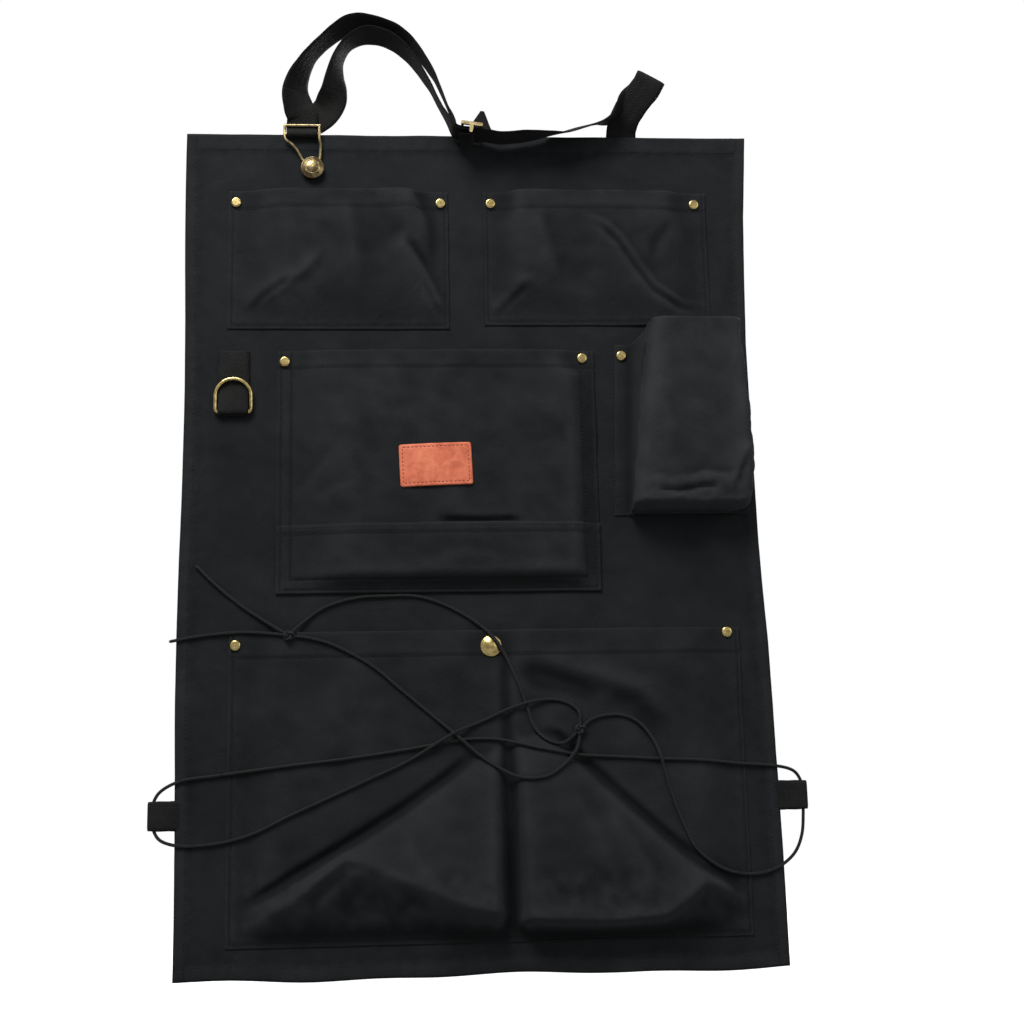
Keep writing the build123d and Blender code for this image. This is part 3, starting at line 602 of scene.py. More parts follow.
def top_left_swell(X, Y, box):
    body = stand(X, Y, box, 42, 26, 34)
    lift = body * (4.0 + 3.6 * smooth(box[2], box[3], Y))
    lift += folded(
        X, Y,
        (crease, [(-60, 252), (-47, 230), (-33, 206), (-18, 176)], 6.0, 2.4, 17),
        (groove, [(-56, 245), (-43, 226), (-29, 203), (-17, 176)], 6.0, 2.7, 0.15),
        (groove, [(-41, 212), (-31, 190), (-22, 174)], 3.4, 2.2, 0.3),
        (crease, [(-106, 284), (-99, 246), (-92, 195)], 3.4, 7, 24, 0.3),
        (crease, [(-120, 236), (-133, 216), (-152, 203), (-167, 193), (-186, 176)], 3.6, 2.4, 14),
        (groove, [(-144, 210), (-168, 194), (-184, 177)], 4.2, 2.3, 0.2),
        (groove, [(-50, 290), (-38, 277), (-28, 256), (-24, 190)], 4.6, 5.0, 0.15),
        (crease, [(-84, 286), (-58, 281), (-42, 264), (-37, 225)], 3.0, 5, 13))
    return np.maximum(lift + body * 1.1 * ripples(X, Y, 60, 41), 0.05) * calm(X, Y)


def top_right_swell(X, Y, box):
    body = stand(X, Y, box, 26, 34, 34)
    lift = body * (4.0 + 3.2 * smooth(box[2], box[3], Y))
    line = [(84, 268), (96, 262), (110, 254), (121, 243), (134, 223), (149, 202), (170, 189), (192, 186)]
    lift += folded(
        X, Y,
        (crease, line, 5.6, 2.4, 20),
        (groove, [(x - 1.5, y - 2.5) for x, y in line[1:]], 6.0, 2.8, 0.2),
        (crease, [(52, 274), (56, 244), (68, 204)], 3.4, 6, 22, 0.3),
        (crease, [(50, 212), (38, 197), (26, 184), (15, 174)], 3.4, 2.2, 12),
        (groove, [(47, 207), (26, 186), (16, 174)], 4.6, 2.3, 0.2),
        (groove, [(165, 262), (150, 240), (146, 222)], 1.8, 4, 0.3))
    return np.maximum(lift + body * 1.1 * ripples(X, Y, 60, 43), 0.05) * calm(X, Y)


def center_swell(X, Y, box):
    body = stand(X, Y, box, 58, 16, 12, 6.0)
    drop = 1 - 0.45 * smooth(90, 149, Y)
    lift = body * 8.6 * drop
    lift += folded(
        X, Y,
        (crease, [(-148, 22), (-128, 42), (-104, 74)], 1.7, 4, 16, 0.4),
        (crease, [(-130, 20), (-112, 34), (-84, 40)], 1.3, 3.5, 12, 0.4),
        (crease, [(94, 52), (74, 84), (40, 112)], 1.9, 6, 20, 0.4))
    lift += crease(X, Y, [(-60, -34), (-10, -18), (60, -30)], 1.2, 4, 12, 0.4) * (Y < 6)
    lift += groove(X, Y, [(-32, 8.6), (4, 8.0), (38, 8.4)], 6.0, 1.7, 0.2)
    lift += 1.1 * body * ripples(X, Y, 75, 47) + 0.3 * body * ripples(X, Y, 24, 48)
    return np.maximum(lift, 0.05) * np.minimum(calm(X, Y) + smooth(30, 0, Y - 110), 1)


def low_swell(X, Y, box):
    gape = np.exp(-((X - 2) / 36) ** 2) * smooth(-26, 7, Y)
    inner = center_swell(X, np.minimum(Y, 5.0), flat_box("center_pocket"))
    return inner + 0.2 + 2.2 * gape


RIDGE_L = ([-186, -181, -144, -107, -62, -24, -5, 16],
           [-292, -287, -265, -244, -217, -191, -175, -166])
BROW_L = ([-190, -160, -137, -104, -85, -63, -35, -10, 8],
          [-303, -288, -274, -247, -252, -264, -275, -285, -290])
RIDGE_R = ([24, 42, 58, 79, 106, 135, 165, 199],
           [-160, -158, -163, -184, -209, -236, -261, -281])
BROW_R = ([17, 30, 60, 87, 132, 150, 165, 182, 200],
          [-291, -295, -298, -299, -296, -284, -269, -274, -286])


def tent(X, Y, ridge, brow, low, rise):
    """Cloth that climbs from a ridge line to a brow line, then drops under to the foot seam."""
    top, turn = np.interp(X, *ridge), np.interp(X, *brow)
    down = np.clip((top - Y) / np.maximum(top - turn, 1), 0, 1)
    under = np.clip((turn - Y) / np.maximum(turn - low, 1), 0, 1)
    return rise * down ** 0.62 * (1 - under) ** 1.1


def lower_swell(X, Y, box):
    low, high = box[2:]
    body = stand(X, Y, box, 30, 34, 16)
    middle = 20.0
    valley = np.exp(-((X - middle + 0.018 * (Y + 160)) / 4.0) ** 2) * (1 - smooth(-96, -84, Y))
    lift = body * (2.6 + 2.0 * smooth(high, low + 90, Y) + 1.3 * ripples(X, Y, 85, 51))
    rise_l = 21 * smooth(-188, -118, X) * (1 - smooth(8, 20, X))
    rise_r = 20 * smooth(20, 34, X) * (1 - smooth(158, 202, X))
    lift += tent(X, Y, RIDGE_L, BROW_L, low + 7, rise_l)
    lift += tent(X, Y, RIDGE_R, BROW_R, low + 7, rise_r)
    lift += folded(
        X, Y,
        (groove, [(x - 1, y + 3.5) for x, y in zip(*RIDGE_L)][1:7], 4.2, 3.2, 0.12),
        (groove, [(x + 1, y + 3.5) for x, y in zip(*RIDGE_R)][1:7], 4.4, 3.4, 0.12),
        (crease, [(24, -98), (48, -101), (84, -112), (124, -126), (160, -158)], 4.0, 15, 6, 0.3),
        (groove, [(28, -104), (46, -116), (70, -122), (96, -134)], 4.0, 8, 0.3),
        (groove, [(96, -128), (118, -138), (140, -166)], 2.4, 9, 0.3),
        (crease, [(92, -214), (112, -244), (136, -282)], 2.6, 5, 16, 0.3),
        (crease, [(60, -196), (84, -232), (96, -272)], 1.8, 6, 18, 0.3),
        (crease, [(-128, -292), (-100, -262), (-78, -256)], 2.4, 4, 12, 0.3),
        (crease, [(-60, -226), (-52, -250), (-30, -276)], 1.6, 5, 14, 0.3))
    lift += 1.3 * ripples(X, Y, 26, 53) * smooth(low + 4, low + 18, Y) * (1 - smooth(low + 36, low + 66, Y))
    lift *= 1 - 0.93 * valley
    return np.maximum(lift, 0) * calm(X, Y)


cloths = [
    make_panel(),
    patch("top_left_cloth", "top_left_pocket", top_left_swell, (3.0,), 17),
    patch("top_right_cloth", "top_right_pocket", top_right_swell, (3.0,), 17),
    patch("center_cloth", "center_pocket", center_swell, (3.0, 11.0), 16),
    patch("center_low_cloth", "center_low_pocket", low_swell, (3.0, 11.0), 9, level=SEAM + 0.9),
    patch("lower_cloth", "lower_pocket", lower_swell, (3.0,), 21, pitch=1.5),
]


# ------------------------------------------------------------------ bottle pocket

def make_bottle():
    """A box pocket: sewn flanges, two side walls and a face that stands well out, mouth open."""
    face = flat_box("bottle_pocket_front")
    out_front = -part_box("bottle_pocket_front")[0][1] * 1000
    foot, mouth_base, mouth_face = 13.0, 154.0, face[3]
    closing = 0.12      # the share of the rows that closes the foot
    rows = np.r_[np.linspace(0, closing, 15), np.linspace(closing, 1, 68)[1:]]
    cols = 110
    front = np.zeros((len(rows), cols, 3))
    for j, v in enumerate(rows):
        under = min(v / closing, 1.0)
        body = max((v - closing) / (1 - closing), 0.0)
        depth = math.sin(math.pi / 2 * under) ** 0.8
        base_l, base_r = 122 + 5 * v, 205 + 1.5 * v
        face_l = 119.5 + 21 * v ** 1.1 + 3 * (1 - depth)
        face_r = np.interp(v, [0, 0.1, 0.26, 0.6, 1], [208, 213.5, 218, 215.5, 212]) - 4 * (1 - depth)
        y_base = foot + 2.5 * under + (mouth_base - foot - 2.5) * body
        y_face = foot + 1 + 7 * under ** 2 + (mouth_face - foot - 8) * body
        deep = out_front - 1.2 * np.sin(v * 7.0) - 2.5 * (1 - v) ** 4
        knots = np.array([
            (base_l - 13, y_base, 2.5), (base_l - 3, y_base, 2.6), (base_l - 0.5, y_base, 3.4),
            (base_l + (face_l - base_l) * 0.45 + 3.0, (y_base + y_face) / 2, 3 + (deep - 3) * 0.45),
            (face_l - 0.4, y_face, deep - 8.5), (face_l + 2.6, y_face, deep - 2.8),
            (face_l + 9.5, y_face, deep - 0.2), (face_l * 0.66 + face_r * 0.34, y_face, deep + 0.4),
            (face_l * 0.34 + face_r * 0.66, y_face, deep + 0.3), (face_r - 9, y_face, deep - 0.2),
            (face_r - 2.4, y_face, deep - 2.8), (face_r, y_face, deep - 8.5),
            (base_r + (face_r - base_r) * 0.5 - 2.0, (y_base + y_face) / 2, 3 + (deep - 3) * 0.4),
            (base_r + 0.8, y_base, 3.4), (base_r + 3.5, y_base, 2.6), (base_r + 12.5, y_base, 2.5)])
        knots[3:13, 2] = 2.8 + (knots[3:13, 2] - 2.8) * depth
        path, _ = smooth_path(knots, 2.0)
        share = np.linspace(0, 1, cols)
        run = np.linspace(0, 1, len(path))
        front[j] = np.stack([np.interp(share, run, path[:, k]) for k in range(3)], 1)
    X, Y, out = front[..., 0], front[..., 1], front[..., 2]
    stands = smooth(6, 24, out)
    crumple = 0.9 * ripples(X + out, Y, 62, 61, 2) + 0.12 * ripples(X - out, Y, 17, 62)
    crumple += 1.2 * ripples(X, Y, 26, 64) * (1 - smooth(22, 50, Y))
    folds = folded(
        X, Y,
        (crease, [(124, 42), (150, 34), (178, 40), (208, 33)], 1.2, 2.6, 10),
        (groove, [(138, 28), (156, 27), (174, 30), (190, 31)], 3.0, 2.0, 0.2),
        (groove, [(158, 39), (176, 43), (206, 41)], 0.6, 3.0, 0.25),
        (crease, [(217, 68), (203, 44), (196, 22)], 2.6, 2.2, 10),
        (crease, [(140, 120), (150, 80), (146, 50)], 1.3, 6, 20, 0.4))
    out = out + stands * (crumple + folds)
    wall = stands * (1 - smooth(26, 31, out))
    X = X + wall * 1.6 * ripples(Y, out * 2, 34, 63)
    hem = 0.7 * (1 - smooth(15, 16, Y[-1:, :] - Y)) * stands
    wave = lie(X, Y)
    points = to_m(X, Y, out + wave)
    thick = CLOTH + hem
    back = offset_back(points, thick)
    back[..., 1] = np.minimum(back[..., 1], to_m(X, Y, 1.75 + wave)[..., 1])
    piece = sheet("bottle_cloth", points, back, "bottle_canvas")
    settle(piece, "panel", "bottle_pocket_front", "bottle_pocket_gusset")
    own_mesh(piece)
    return piece


cloths.append(make_bottle())


# ------------------------------------------------------------------ cloth as something to lie on

def surface_tree(pieces):
    verts, faces = [], []
    for piece in pieces:
        start = len(verts)
        verts += [v.co.copy() for v in piece.data.vertices]
        faces += [[start + i for i in p.vertices] for p in piece.data.polygons]
    return BVHTree.FromPolygons(verts, faces)


lying = surface_tree(cloths)


def struck(x, y, start, way, tree):
    """What a ray meets at a spot: (out in mm, normal), or None off the cloth."""
    hit = tree.ray_cast(Vector(to_m(x, y, start)), Vector((0, way, 0)))
    return None if hit[0] is None else (-hit[0][1] * 1000, hit[1])


def front_of(x, y, tree=lying):
    return struck(x, y, 200.0, 1, tree)


def back_of(x, y):
    return struck(x, y, -100.0, -1, lying)


# ------------------------------------------------------------------ stitching

STITCH = 3.3        # pitch of the seams


class Stitches:
    """Many short raised stitches, gathered into one closed-bodied mesh."""

    sides, height = 6, 0.55
    profile = ((-0.5, 0.35), (-0.3, 0.95), (0.3, 0.95), (0.5, 0.35))

    def __init__(self):
        self.verts, self.faces = [], []

    def add(self, middle, along, normal, length, radius):
        side = along.cross(normal).normalized()
        start = len(self.verts)
        for share, size in self.profile:
            for k in range(self.sides):
                turn = TURN * k / self.sides
                ring = side * math.cos(turn) * size + normal * (math.sin(turn) * size * self.height)
                dip = normal * (-0.9 * radius * (abs(share) > 0.4))
                self.verts.append(middle + along * (share * length) + ring * radius + dip)
        for j in range(len(self.profile) - 1):
            for k in range(self.sides):
                a, b = start + j * self.sides + k, start + j * self.sides + (k + 1) % self.sides
                self.faces.append((a, b, b + self.sides, a + self.sides))
        self.faces.append(tuple(start + k for k in range(self.sides))[::-1])
        last = start + (len(self.profile) - 1) * self.sides
        self.faces.append(tuple(last + k for k in range(self.sides)))

    def row(self, line, pitch=STITCH, length=2.5, radius=0.34, probe=front_of, lift=0.05):
        """Stitches along a polyline in panel mm, laid on whatever cloth is there."""
        for (ax, ay), (bx, by) in zip(line, line[1:]):
            count = max(int(math.dist((ax, ay), (bx, by)) / pitch), 1)
            step = ((bx - ax) / count, (by - ay) / count)
            for i in range(count):
                ends = []
                for share in (i + 0.5 - 0.5 * length / pitch, i + 0.5 + 0.5 * length / pitch):
                    x, y = ax + step[0] * share, ay + step[1] * share
                    hit = probe(x, y)
                    if hit:
                        ends.append((Vector(to_m(x, y, hit[0])), hit[1]))
                if len(ends) == 2:
                    (a, na), (b, nb) = ends
                    span = b - a
                    if span.length < 2.0 * length / 1000:
                        normal = (na + nb).normalized()
                        middle = (a + b) / 2 + normal * lift / 1000
                        self.add(middle, span.normalized(), normal, span.length, radius / 1000)

    def piece(self, name, material, slot):
        mesh = bpy.data.meshes.new(name)
        mesh.from_pydata(self.verts, [], self.faces)
        mesh.shade_smooth()
        mesh.materials.append(material)
        piece = link(name, mesh)
        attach(piece, "panel")


def u_row(box, inset):
    """Down the left, along the foot and up the right of a pocket, from just under its mouth."""
    left, right, low, high = box
    top = high - 1.5
    return [(left + inset, top), (left + inset, low + inset),
            (right - inset, low + inset), (right - inset, top)]


def split(line, pitch=STITCH):
    """A polyline with a corner at every stitch, so that a row can follow the drifting edges."""
    dense = [line[0]]
    for a, b in zip(line, line[1:]):
        count = max(int(math.dist(a, b) / pitch), 1)
        dense += [(a[0] + (b[0] - a[0]) * k / count, a[1] + (b[1] - a[1]) * k / count)
                  for k in range(1, count + 1)]
    return dense


def drifted(line):
    """A row beside the panel's edge, moved as the edge is."""
    spots = np.array(split(line))
    dx, dy = edge_drift(spots[:, 0], spots[:, 1])
    return list(zip(spots[:, 0] + dx, spots[:, 1] + dy))


hem_rows = (
    [(-HALF_W + 2, HALF_H - 13), (HALF_W - 2, HALF_H - 13)],
    [(-HALF_W + 8, HALF_H - 3), (-HALF_W + 8, -HALF_H + 2)],
    [(HALF_W - 8, HALF_H - 3), (HALF_W - 8, -HALF_H + 2)],
    [(-HALF_W + 2, -HALF_H + 10), (HALF_W - 2, -HALF_H + 10)],
    [(-HALF_W + 2, HALF_H - 2.5), (HALF_W - 2, HALF_H - 2.5)],
)
edging, pocketing, behind = Stitches(), Stitches(), Stitches()


def sew(line, front):
    """A seam that shows on the front and on the back."""
    front.row(line)
    behind.row(line, probe=back_of)


for line in hem_rows:
    sew(drifted(line), edging)
pocket_rows = []
for node, insets, drop in (("top_left_pocket", (3.0,), 15.5), ("top_right_pocket", (3.0,), 15.5),
                           ("center_pocket", (3.0, 11.0), 14.5), ("lower_pocket", (3.0,), 19.5)):
    box = flat_box(node)
    pocket_rows += [u_row(box, inset) for inset in insets]
    pocket_rows.append([(box[0] + 4, box[3] - drop), (box[1] - 4, box[3] - drop)])
for line in pocket_rows:
    sew(split(line), pocketing)
low_box = flat_box("center_low_pocket")
for drop in (2.6, 7.5):
    level = low_box[3] - drop
    pocketing.row(split([(low_box[0] + 12, level), (low_box[1] - 12, level)]))
divider = [(20.5, -100), (20.5, -131), (20, -192), (18, -252), (16, -300)]
behind.row(split(divider), probe=back_of)
for line in ([(112, 152), (110.5, 20)], [(115, 14.5), (208, 14.5)], [(214, 20), (213, 150)]):
    sew(split(line), pocketing)
pocketing.piece("pocket_stitches", dark_thread, "pocket_canvas")
edging.piece("hem_stitches", dark_thread, "bib_canvas")
behind.piece("back_stitches", dark_thread, "bib_canvas")


# ------------------------------------------------------------------ webbing

def bend(piece, body, other, start, end):
    """Bakes a piece's placement into its mesh; it bends nothing, and the two bodies and the two places are
    not used.
    """
    tuple(to_m(*start))
    tuple(to_m(*end))
    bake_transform(piece)


def tape(stations, width=25.0, thick=1.5, step=1.6, cup=0.25):
    """Rings of points round a flat tape through (x, y, out, lean) stations.

    lean turns the width from straight out (0) to flat on the panel (90); None keeps the last one.
    """
    spots = [station[:3] for station in stations]
    points = to_m(*np.array(spots, dtype=float).T)
    along = tangents(points)
    out_way = np.array([0.0, -1.0, 0.0])
    wide = []
    for travel, station in zip(along, stations):
        if station[3] is None:
            wide.append(wide[-1])
            continue
        lean = math.radians(station[3])
        side = unit(np.cross(out_way, travel))
        wide.append(out_way * math.cos(lean) + side * math.sin(lean))
    path, run = smooth_path(np.hstack([np.array(spots, dtype=float), np.array(wide)]), step)
    points = to_m(path[:, 0], path[:, 1], path[:, 2])
    along = tangents(points)
    wide = unit(path[:, 3:6] - along * np.sum(path[:, 3:6] * along, axis=1, keepdims=True))
    face = np.cross(along, wide)
    half, skin = width / 2, thick / 2
    across = np.linspace(-1, 1, 11)
    edge = np.sqrt(np.clip(1 - np.abs(across) ** 9, 0.0, 1)) * 0.75 + 0.25
    top = [(s * half, e * skin) for s, e in zip(across, edge)]
    under = [(s * half, -e * skin) for s, e in zip(across[::-1], edge[::-1])]
    ring = np.array(top + under)
    wobble = 0.18 * np.sin(run / 6.1)[:, None] + 0.12 * np.sin(run / 2.3 + 1)[:, None]
    u = ring[:, 0] + wobble * (np.abs(ring[:, 0]) > half * 0.9) * np.sign(ring[:, 0])
    v = ring[:, 1] + cup * (1 - (ring[:, 0] / half) ** 2) * np.ones_like(wobble)
    rings = points[:, None, :] + (wide[:, None, :] * u[..., None] + face[:, None, :] * v[..., None]) / 1000
    return rings, run, ring[:, 0], path[:, :3]


def ribbon(name, stations, **shape):
    rings, run, across, _ = tape(stations, **shape)
    return ring_tube(name, rings, run, "webbing", across)


def ribbons(names, parts, **shape):
    """One tape cut into pieces: each part's last station is the next part's first."""
    stations = list(parts[0])
    for part in parts[1:]:
        stations += part[1:]
    rings, run, across, path = tape(stations, **shape)
    pieces, start = [], 0
    for name, part in zip(names, parts):
        length = sum(math.dist(p[:3], q[:3]) for p, q in zip(part, part[1:]))
        far = np.linalg.norm(path[start:] - np.array(part[-1][:3]), axis=1)
        far += np.abs(run[start:] - run[start] - length)
        end = start + int(far.argmin()) if name != names[-1] else len(path) - 1
        pieces.append(ring_tube(name, rings[start:end + 1], run[start:end + 1], "webbing", across))
        start = end
    return pieces


slider_low, slider_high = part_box("strap_slider")
SLIDE_X, SLIDE_Y = 0.0, 330.0       # the slider's middle
SLOPE = math.radians(-8)            # and how far its run tilts
SLIDER_OUT = -(slider_low[1] + slider_high[1]) * 500
HALF_WEB = 12.5
ON_EDGE = HALF_WEB + 0.8            # out of a tape that stands on edge, just clear of the table
BUCKLE_X = -138.0


def in_slider(along, up):
    """A station of a tape that stands on edge, along and above the slider's own middle line."""
    return (SLIDE_X + along * math.cos(SLOPE) - up * math.sin(SLOPE),
            SLIDE_Y + along * math.sin(SLOPE) + up * math.cos(SLOPE), SLIDER_OUT, 0)


buckle_turn = [(BUCKLE_X, y, out, lean) for y, out, lean in (
    (350, 6.2, -90), (344.5, 4.6, -90), (340.5, 4.5, -90), (337, 6.2, None), (334.2, 8.4, None),
    (332.4, 8.2, None), (331.3, 6.5, None), (332.4, 4.8, None), (334.6, 3.9, None), (338.5, 2.7, 90))]
bar_turn = [in_slider(along, up) for along, up in (
    (-9, -1.8), (-4, -1.8), (0, -1.8), (1.6, -2.4), (2.25, -4.05), (1.6, -5.7), (0, -6.3),
    (-4.5, -6.4), (-9.5, -7.0))]
# The neck strap as one tape: its sewn foot and first fold, the run through the slider and over the
# arch, the turn round the buckle's bar, and the way back to the slider's own bar.
strap_parts = (
    [(STRAP_FOOT_X, 317, -0.95, 90), (STRAP_FOOT_X, 326, -0.95, 90),
     (STRAP_FOOT_X, 333, -0.9, 90), (STRAP_FOOT_X, 337.5, 0.6, 90),
     (126.3, 341.5, 3.0, 90), (128.2, 348, 8.0, 90), (133, 356, 13.4, 90), (139.5, 363.5, 18.8, 90),
     (145, 370.3, 23.2, 90), (148.4, 375.8, 25.5, 90), (149.7, 378.4, 23.6, None), (148.5, 376, 21.6, -90),
     (145.2, 371, 18.5, -86), (139.5, 365.5, 14.8, -72), (130, 359.5, 11, -44)],
    [(130, 359.5, 11, -44), (119.5, 350.5, 10.8, -8), (108, 343.6, 12.8, 18), (92, 338.2, ON_EDGE + 0.5, 25),
     (76, 333.6, ON_EDGE, 24), (62, 330.4, SLIDER_OUT - 1.0, 12), (45, 328.2, SLIDER_OUT, 2),
     *[in_slider(along, 0) for along in (26, 14, 3, -8)],
     (-12.3, 333.0, SLIDER_OUT, 0), (-13.8, 338, SLIDER_OUT, 0),
     (-17.4, 350.7, ON_EDGE + 1, 8), (-24.4, 370.5, ON_EDGE, 6), (-32.3, 388.3, ON_EDGE, 2),
     (-49, 412, ON_EDGE, -5), (-70, 424.5, ON_EDGE + 1, -12), (-98.6, 427.5, ON_EDGE + 1, -15),
     (-125, 407, ON_EDGE, -8), (-138.5, 385, ON_EDGE, -28), (-143, 368, 12.5, -55)],
    [(-143, 368, 12.5, -55), (-140.8, 356, 8.5, -80), *buckle_turn, (-134.5, 343, 2.4, 90),
     (-125.5, 349, 2.8, 90), (-118.5, 355, 4.6, 88), (-114.5, 361.5, 7.2, 74), (-111.5, 371, 11.0, 52)],
    [(-111.5, 371, 11.0, 52), (-110, 386, ON_EDGE, 28), (-106.5, 401, ON_EDGE, 12), (-98, 413, ON_EDGE, 5),
     (-84, 419, ON_EDGE, 10), (-66, 414.5, ON_EDGE, 8), (-50, 400.5, ON_EDGE, 4), (-34.5, 376.5, ON_EDGE, -2),
     (-27, 360.5, ON_EDGE, -4), (-20.8, 347, ON_EDGE + 1.5, -4), (-17.0, 337.6, SLIDER_OUT, 0),
     (-14.0, 331.8, SLIDER_OUT, 0), *bar_turn],
)
strap_front, strap_run, strap_foot, strap_back = ribbons(
    ("strap_front", "strap_run", "strap_foot", "strap_back"), strap_parts, step=0.9, cup=0.1)
settle(strap_run, "strap", "neck_strap")
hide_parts("neck_strap")
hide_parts("strap_turn")
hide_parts("strap_return", "strap_end_tab")

tip_rings, tip_run, tip_across, _ = tape(
    [(7.0, 328.5, SLIDER_OUT + 4, 90), (7.6, 334, SLIDER_OUT + 4.5, 90), (8.4, 340, SLIDER_OUT + 5.5, 90),
     (9.2, 346.5, SLIDER_OUT + 7, 90)], width=21.0, step=0.9, cup=0.4)
tip_middle = tip_rings.mean(axis=1, keepdims=True)
narrow = np.interp(tip_run / tip_run[-1], [0, 0.2, 1], [1, 0.88, 0.14])[:, None, None]
strap_tip = ring_tube("strap_tip", tip_middle + (tip_rings - tip_middle) * narrow, tip_run, "webbing",
                      tip_across)
settle(strap_tip, "slider", "strap_end_tab")
bend(strap_front, "panel", "strap", (0, 334, 0), (0, 346, 0))
bend(strap_foot, "panel", "strap", (0, 343.5, 0), (0, 364, 0))
bend(strap_back, "strap", "slider", (-38, 346, 13), (-12, 331, 16))

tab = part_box("d_ring_tab")
TAB_X = ((tab[0][0] + tab[1][0]) / 2 - MID_X) * 1000
tab_profile = ((149, 2.5), (130, 2.5), (108, 2.55), (100.5, 2.6), (97.2, 3.1), (95.5, 4.9), (97.0, 6.9),
               (99.5, 7.4), (106, 6.4), (114, 5.1), (121, 4.1), (127, 3.95), (148.6, 3.95))
tab_piece = ribbon("ring_tab", [(TAB_X, y, out, 90) for y, out in tab_profile],
                   width=24.0, step=1.0, cup=0.0)
settle(tab_piece, "panel", "d_ring_tab")


def side_loop(name, node, side, body):
    """A loop of tape sewn behind the panel's edge and folded back on itself, side -1 or 1."""
    left, right, low, high = flat_box(node)
    middle, width = (low + high) / 2, high - low
    tip = max(abs(left), abs(right))
    profile = ((226.5, 1.25), (231, 1.2), (238, 1.3), (tip - 4.5, 1.7), (tip - 1.5, 2.5), (tip - 0.8, 3.8),
               (tip - 1.8, 5.0), (tip - 4.5, 5.4), (240, 4.3), (233, 2.95), (229, 2.0), (226.5, 1.75))
    loop = ribbon(name, [(side * x, middle, out, 90) for x, out in profile],
                  width=width, thick=1.2, step=0.8, cup=0.0)
    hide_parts(node)
    bend(loop, "panel", body, (side * 229.5, middle, 0), (side * 236, middle, 0))


side_loop("left_tape_loop", "left_side_loop", -1, "left_loop")
side_loop("right_tape_loop", "right_side_loop", 1, "right_loop")


# ------------------------------------------------------------------ label

def make_label():
    """The blank leather label: round corners, a stitch channel, bedded on the pocket below it."""
    left, right, low, high = flat_box("leather_label")
    cx, cy, turn = (left + right) / 2, (low + high) / 2, math.radians(2.3)
    wide, tall, corner, thick = 57.0, 34.0, 2.2, 1.7
    U, V = np.meshgrid(np.linspace(-wide / 2, wide / 2, 115), np.linspace(-tall / 2, tall / 2, 69))
    a = np.clip((np.abs(U) - (wide / 2 - corner)) / corner, 0, 1)
    b = np.clip((np.abs(V) - (tall / 2 - corner)) / corner, 0, 1)
    in_corner = (a > 0) & (b > 0)
    ru, rv = a * np.sqrt(1 - b * b / 2), b * np.sqrt(1 - a * a / 2)
    U = np.where(in_corner, np.sign(U) * (wide / 2 - corner + corner * ru), U)
    V = np.where(in_corner, np.sign(V) * (tall / 2 - corner + corner * rv), V)
    X = cx + U * math.cos(turn) - V * math.sin(turn)
    Y = cy + U * math.sin(turn) + V * math.cos(turn)
    spots = [(X[j, i], Y[j, i]) for j in range(0, 69, 8) for i in range(0, 115, 8)]
    heights = np.array([front_of(x, y)[0] for x, y in spots])
    terms = np.array([(1, x, y, x * x, x * y, y * y) for x, y in spots])
    fit = np.linalg.lstsq(terms, heights, rcond=None)[0]
    gap = np.max(heights - terms @ fit)
    bed = fit[0] + fit[1] * X + fit[2] * Y + fit[3] * X * X + fit[4] * X * Y + fit[5] * Y * Y
    base = bed + gap - 0.15
    edge = np.minimum(wide / 2 - np.abs(U), tall / 2 - np.abs(V))
    channel = np.exp(-((edge - 2.6) / 0.55) ** 2)
    out = base + thick - 0.5 * np.exp(-edge / 0.45) - 0.22 * channel + 0.06 * ripples(U, V, 12, 71)
    piece = sheet("leather_patch", to_m(X, Y, out), to_m(X, Y, base), "tan_leather")
    settle(piece, "panel", "leather_label")
    tree = surface_tree([piece])
    thread_line, inset = Stitches(), 2.6
    half_u, half_v = wide / 2 - inset, tall / 2 - inset
    corners = [(-half_u, -half_v), (half_u, -half_v), (half_u, half_v), (-half_u, half_v), (-half_u, -half_v)]
    line = [(cx + u * math.cos(turn) - v * math.sin(turn), cy + u * math.sin(turn) + v * math.cos(turn))
            for u, v in corners]
    thread_line.row(line, pitch=3.1, length=2.0, radius=0.36, probe=lambda x, y: front_of(x, y, tree))
    thread_line.piece("label_stitches", label_thread, "tan_leather")


make_label()


def box_and_cross(left, right, low, high):
    """The stitch pattern that holds a tape's end: a box with both its diagonals."""
    return ([(left, low), (right, low), (right, high), (left, high), (left, low)],
            [(left, low), (right, high)], [(right, low), (left, high)])


tape_tree = surface_tree([tab_piece])
tape_rows = Stitches()
for line in box_and_cross(TAB_X - 9.5, TAB_X + 9.5, 128, 146):
    tape_rows.row(line, pitch=2.6, length=1.9, radius=0.33, probe=lambda x, y: front_of(x, y, tape_tree))
for line in box_and_cross(STRAP_FOOT_X - 10, STRAP_FOOT_X + 10, 321, 333):
    tape_rows.row(line, pitch=2.6, length=1.9, radius=0.33)
for side, node in ((-1, "left_side_loop"), (1, "right_side_loop")):
    _, _, low, high = flat_box(node)
    for inset in (3.2, 5.0):
        tape_rows.row([(side * (HALF_W - inset), low + 1), (side * (HALF_W - inset), high - 1)],
                      pitch=1.7, length=1.3, radius=0.36)
tape_rows.piece("tape_stitches", dark_thread, "webbing")


# ------------------------------------------------------------------ elastic cord

CORD = 1.25         # half the cord's thickness
KNOT_1, KNOT_2 = (-146.0, -80.0), (76.0, -155.0)
RIGHT_PASS, LEFT_PASS = (246.3, -207.5), (-246.3, -214.0)
